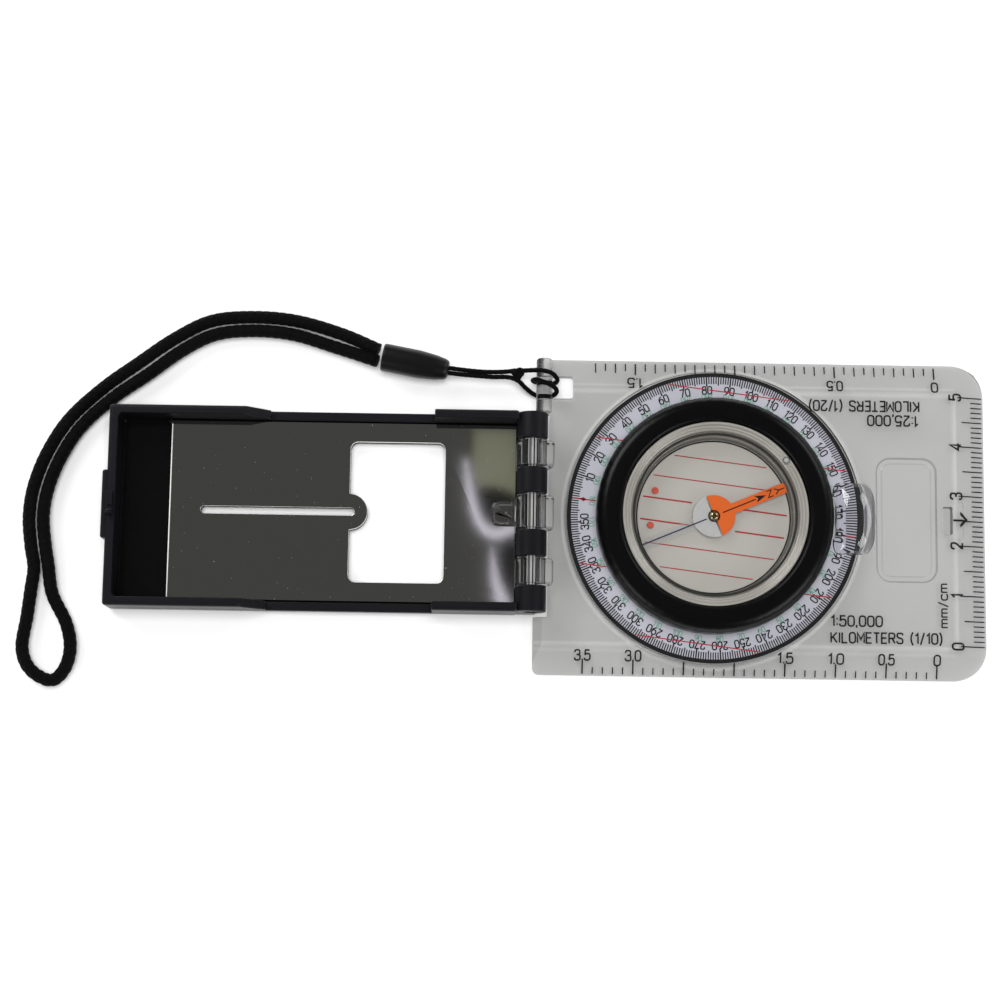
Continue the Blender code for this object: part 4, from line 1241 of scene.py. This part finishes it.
def makeNeedle():
    for side, name, finish, slot, node in (
            (1, "orange_needle_half", "orange", "needle_orange", "needle_north_arm"),
            (-1, "clear_needle_half", "southArm", "needle_white", "needle_south_arm")):
        item = prism(name, bladeOutline(side), needle["bottom"], needle["top"])
        hang(soften(item, 0.00004, 2, 60), "needle", finish, slot, node, flat=True)
    start, end, width = needle["shaft"]
    marks = [bar(onNeedle(start), onNeedle(end), width), [onNeedle(*point) for point in needle["arrow"]]]
    marks += [bar(onNeedle(needle["forkStart"]), onNeedle(*point), needle["forkWidth"]) for point in needle["fork"]]
    letter = lettering("N", 0.0011, onNeedle(0.0120), needle["angle"] - 90, 0.0013)
    printOn("needle_black_print", [strokes(marks), letter], level(needle["top"]), "needle", "black", "bezel_black")
    start, end, width = needle["southLine"]
    navy = strokes([bar(onNeedle(start), onNeedle(end), width)])
    printOn("needle_navy_line", [navy], level(needle["top"]), "needle", "navy", "bezel_black")

    long, wide = needle["magnet"]
    magnet = block("needle_magnet_bar", (-long, long), (-wide, wide), needle["magnetZ"])
    magnet.data.transform(Matrix.Translation((dialX, centreY, 0)) @ Matrix.Rotation(radians(needle["angle"]), 4, "Z"))
    carve(magnet, rod("eye", 0.0010, (dialX, centreY, 0.003), (dialX, centreY, 0.005), 40))
    hang(soften(magnet, 0.00008, 2, 50), "needle", "magnet", "magnet_steel", "needle_magnet", flat=True)
    hang(lathe("brass_pivot_cap", needle["cap"], 64), "needle", "brass", "brass_cap", "jewel_cap", smooth=60)


makeNeedle()
print("needle made")


cover = {
    "floor": 0.0010, "wall": 0.0018, "tallWall": 0.0087, "lowWall": 0.0026, "softness": 0.00022,
    "halfWidth": 0.0200, "bumpDepth": 0.0009, "bumpHalf": 0.0068, "right": -0.0055, "hookHalf": 0.0022,
    "windowX": (hingeX - 0.0362, hingeX - 0.0173), "windowHalf": 0.0141, "windowCorner": 0.0015, "lobe": 0.0036,
    "slotFar": -0.0688, "slotHalf": 0.0008, "lowNear": hingeX - 0.0194, "lowFar": hingeX - 0.0522, "nibY": 0.0176,
}


def windowOutline(margin=0.0):
    left, right = cover["windowX"][0] - margin, cover["windowX"][1] + margin
    high = cover["windowHalf"] + margin
    corner = cover["windowCorner"]
    corners = roundedOutline((left, right), (centreY - high, centreY + high), [corner] * 4, 8)
    half = len(corners) // 2
    lobe = arc((cover["windowX"][0], centreY), cover["lobe"] - margin, 90, -90, 32)
    return corners[:half] + [(max(left, x), y) for x, y in lobe] + corners[half:]


def slotOutline(margin=0.0):
    half = cover["slotHalf"] + margin
    far = arc((cover["slotFar"] + cover["slotHalf"], centreY), half, 90, 270, 16)
    return far + arc((cover["windowX"][0] + 0.0002, centreY), half, -90, 90, 16)


def makeCoverTray():
    low, high = trayLow, trayHigh
    end, right, halfWidth = low.x + cover["bumpDepth"], cover["right"], cover["halfWidth"]
    inner = halfWidth - cover["wall"]
    inside = roundedOutline((end + cover["wall"], 0.0), (-inner, inner), [0.0001, 0.0008, 0.0008, 0.0001], 8)
    item = block("mirror_cover", (end, right), (-halfWidth, halfWidth), (0.0, cover["tallWall"]))
    item = soften(item, 0.0007, 5)
    carve(item, prism("inside", inside, cover["floor"], 0.02))
    carve(item, block("dip", (cover["lowFar"], cover["lowNear"]), (-0.05, 0.05), (cover["lowWall"], 0.02)))
    for side in (-1, 1):
        chamfer = block("chamfer", (-0.004, 0.004), (-0.006, 0.006), (-0.004, 0.004))
        chamfer.data.transform(Matrix.Translation((cover["lowFar"], side * halfWidth, cover["tallWall"] + 0.0008))
                               @ Matrix.Rotation(radians(45), 4, "Y"))
        carve(item, chamfer)
    item = soften(item, cover["softness"], 3)
    bump = block("bump", (low.x, end + 0.0004), (-cover["bumpHalf"], cover["bumpHalf"]), (0.0, cover["tallWall"]))
    carve(item, soften(bump, 0.0005, 4), "UNION")
    hook = block("hook", (end + 0.0003, end + 0.0016), (-cover["hookHalf"], cover["hookHalf"]), (0.0020, high.z))
    tip = high.z + 0.0001
    carve(hook, rod("notch", 0.0007, (end - 0.001, -0.0012, tip), (end + 0.004, -0.0012, tip), 32))
    carve(item, soften(hook, 0.0002, 3), "UNION")
    for span in knuckleSpans()[0::2]:
        arm = block("arm", (right - 0.0002, hingeX + 0.0010), span, (0.0, hingeZ - 0.0015))
        carve(item, soften(arm, 0.0002, 2), "UNION")
        barrel = rod("barrel", plate["barrelRadius"], (hingeX, span[0], hingeZ), (hingeX, span[1], hingeZ), 72)
        carve(item, soften(barrel, 0.0003, 3), "UNION")
    carve(item, rod("pinHole", plate["pinHole"], (hingeX, -0.03, hingeZ), (hingeX, 0.03, hingeZ), 48))
    carve(item, prism("window", windowOutline(), -0.01, 0.01))
    carve(item, prism("slot", slotOutline(), -0.01, 0.01))
    hang(item, "cover", "tray", "black_plastic", "cover_tray", smooth=35, flat=True)


def makeNib():  # the small post that keys the mirror's corner
    corner = (mirrorLow.x - 0.0004, cover["nibY"])
    post = [(0.0, 0.0034), (0.0003, 0.0034), (0.0005, 0.0031), (0.0005, 0.0009), (0.0, 0.0009)]
    item = lathe("corner_nib", roundOff(post, 0.0001, 2), 32, corner)
    hang(item, "cover", "tray", "black_plastic", smooth=50)


def coverSheet(name, inset, margin, bottom, top, softness):
    half = cover["halfWidth"] - cover["wall"] - plate["gap"] - inset
    item = block(name, (mirrorLow.x + inset, mirrorHigh.x - inset), (-half, half), (bottom, top))
    carve(item, prism("window", windowOutline(margin), -0.01, 0.01))
    carve(item, prism("slot", slotOutline(margin), -0.01, 0.01))
    return soften(item, softness, 2, 45) if softness else item


def makeMirror():
    tapeLow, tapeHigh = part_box("mirror_tape")
    sheet = coverSheet("adhesive_sheet", 0.0010, 0.0006, tapeLow.z, tapeHigh.z, 0)
    hang(sheet, "cover", "tape", "foam_tape", "mirror_tape")
    item = coverSheet("sighting_mirror", 0.0, 0.0, mirrorLow.z, mirrorHigh.z, 0.00016)
    hang(item, "cover", "mirror", "mirror_face", "mirror", flat=True)
    edge = block("mirror_far_edge", (mirrorLow.x - 0.00025, mirrorLow.x - 0.00005), (-cover["nibY"], cover["nibY"]),
                 (0.0011, mirrorHigh.z + 0.00005))
    hang(soften(edge, 0.00005, 2), "cover", "mirrorEdge", "mirror_face")


def makeTongue():
    low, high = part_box("hinge_friction_tongue")
    rings = []
    for inset, rise in ((0.0, 0.0), (0.0, 0.55), (0.00006, 0.80), (0.0002, 0.94), (0.0004, 1.0), (0.0008, 0.94),
                        (0.0011, 0.80)):
        outline = roundedOutline((low.x + inset, high.x - inset * 0.3), (low.y + inset, high.y - inset),
                                 [0.0004, 0.0015, 0.0015, 0.0004], 12)
        rings.append([(x, y, low.z + (high.z - low.z) * rise) for x, y in outline])
    hang(loft("friction_tongue", rings), "cover", "lens", "clear_acrylic", "hinge_friction_tongue", smooth=50)


def makeHingePin():
    low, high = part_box("hinge_pin")
    item = rod("hinge_rod", (high.z - low.z) / 2, (hingeX, low.y, hingeZ), (hingeX, high.y, hingeZ), 64)
    hang(soften(item, 0.0003, 4), "base", "steel", "steel", "hinge_pin", smooth=50)


makeCoverTray()
makeMirror()
makeNib()
makeTongue()
makeHingePin()
print("cover made")
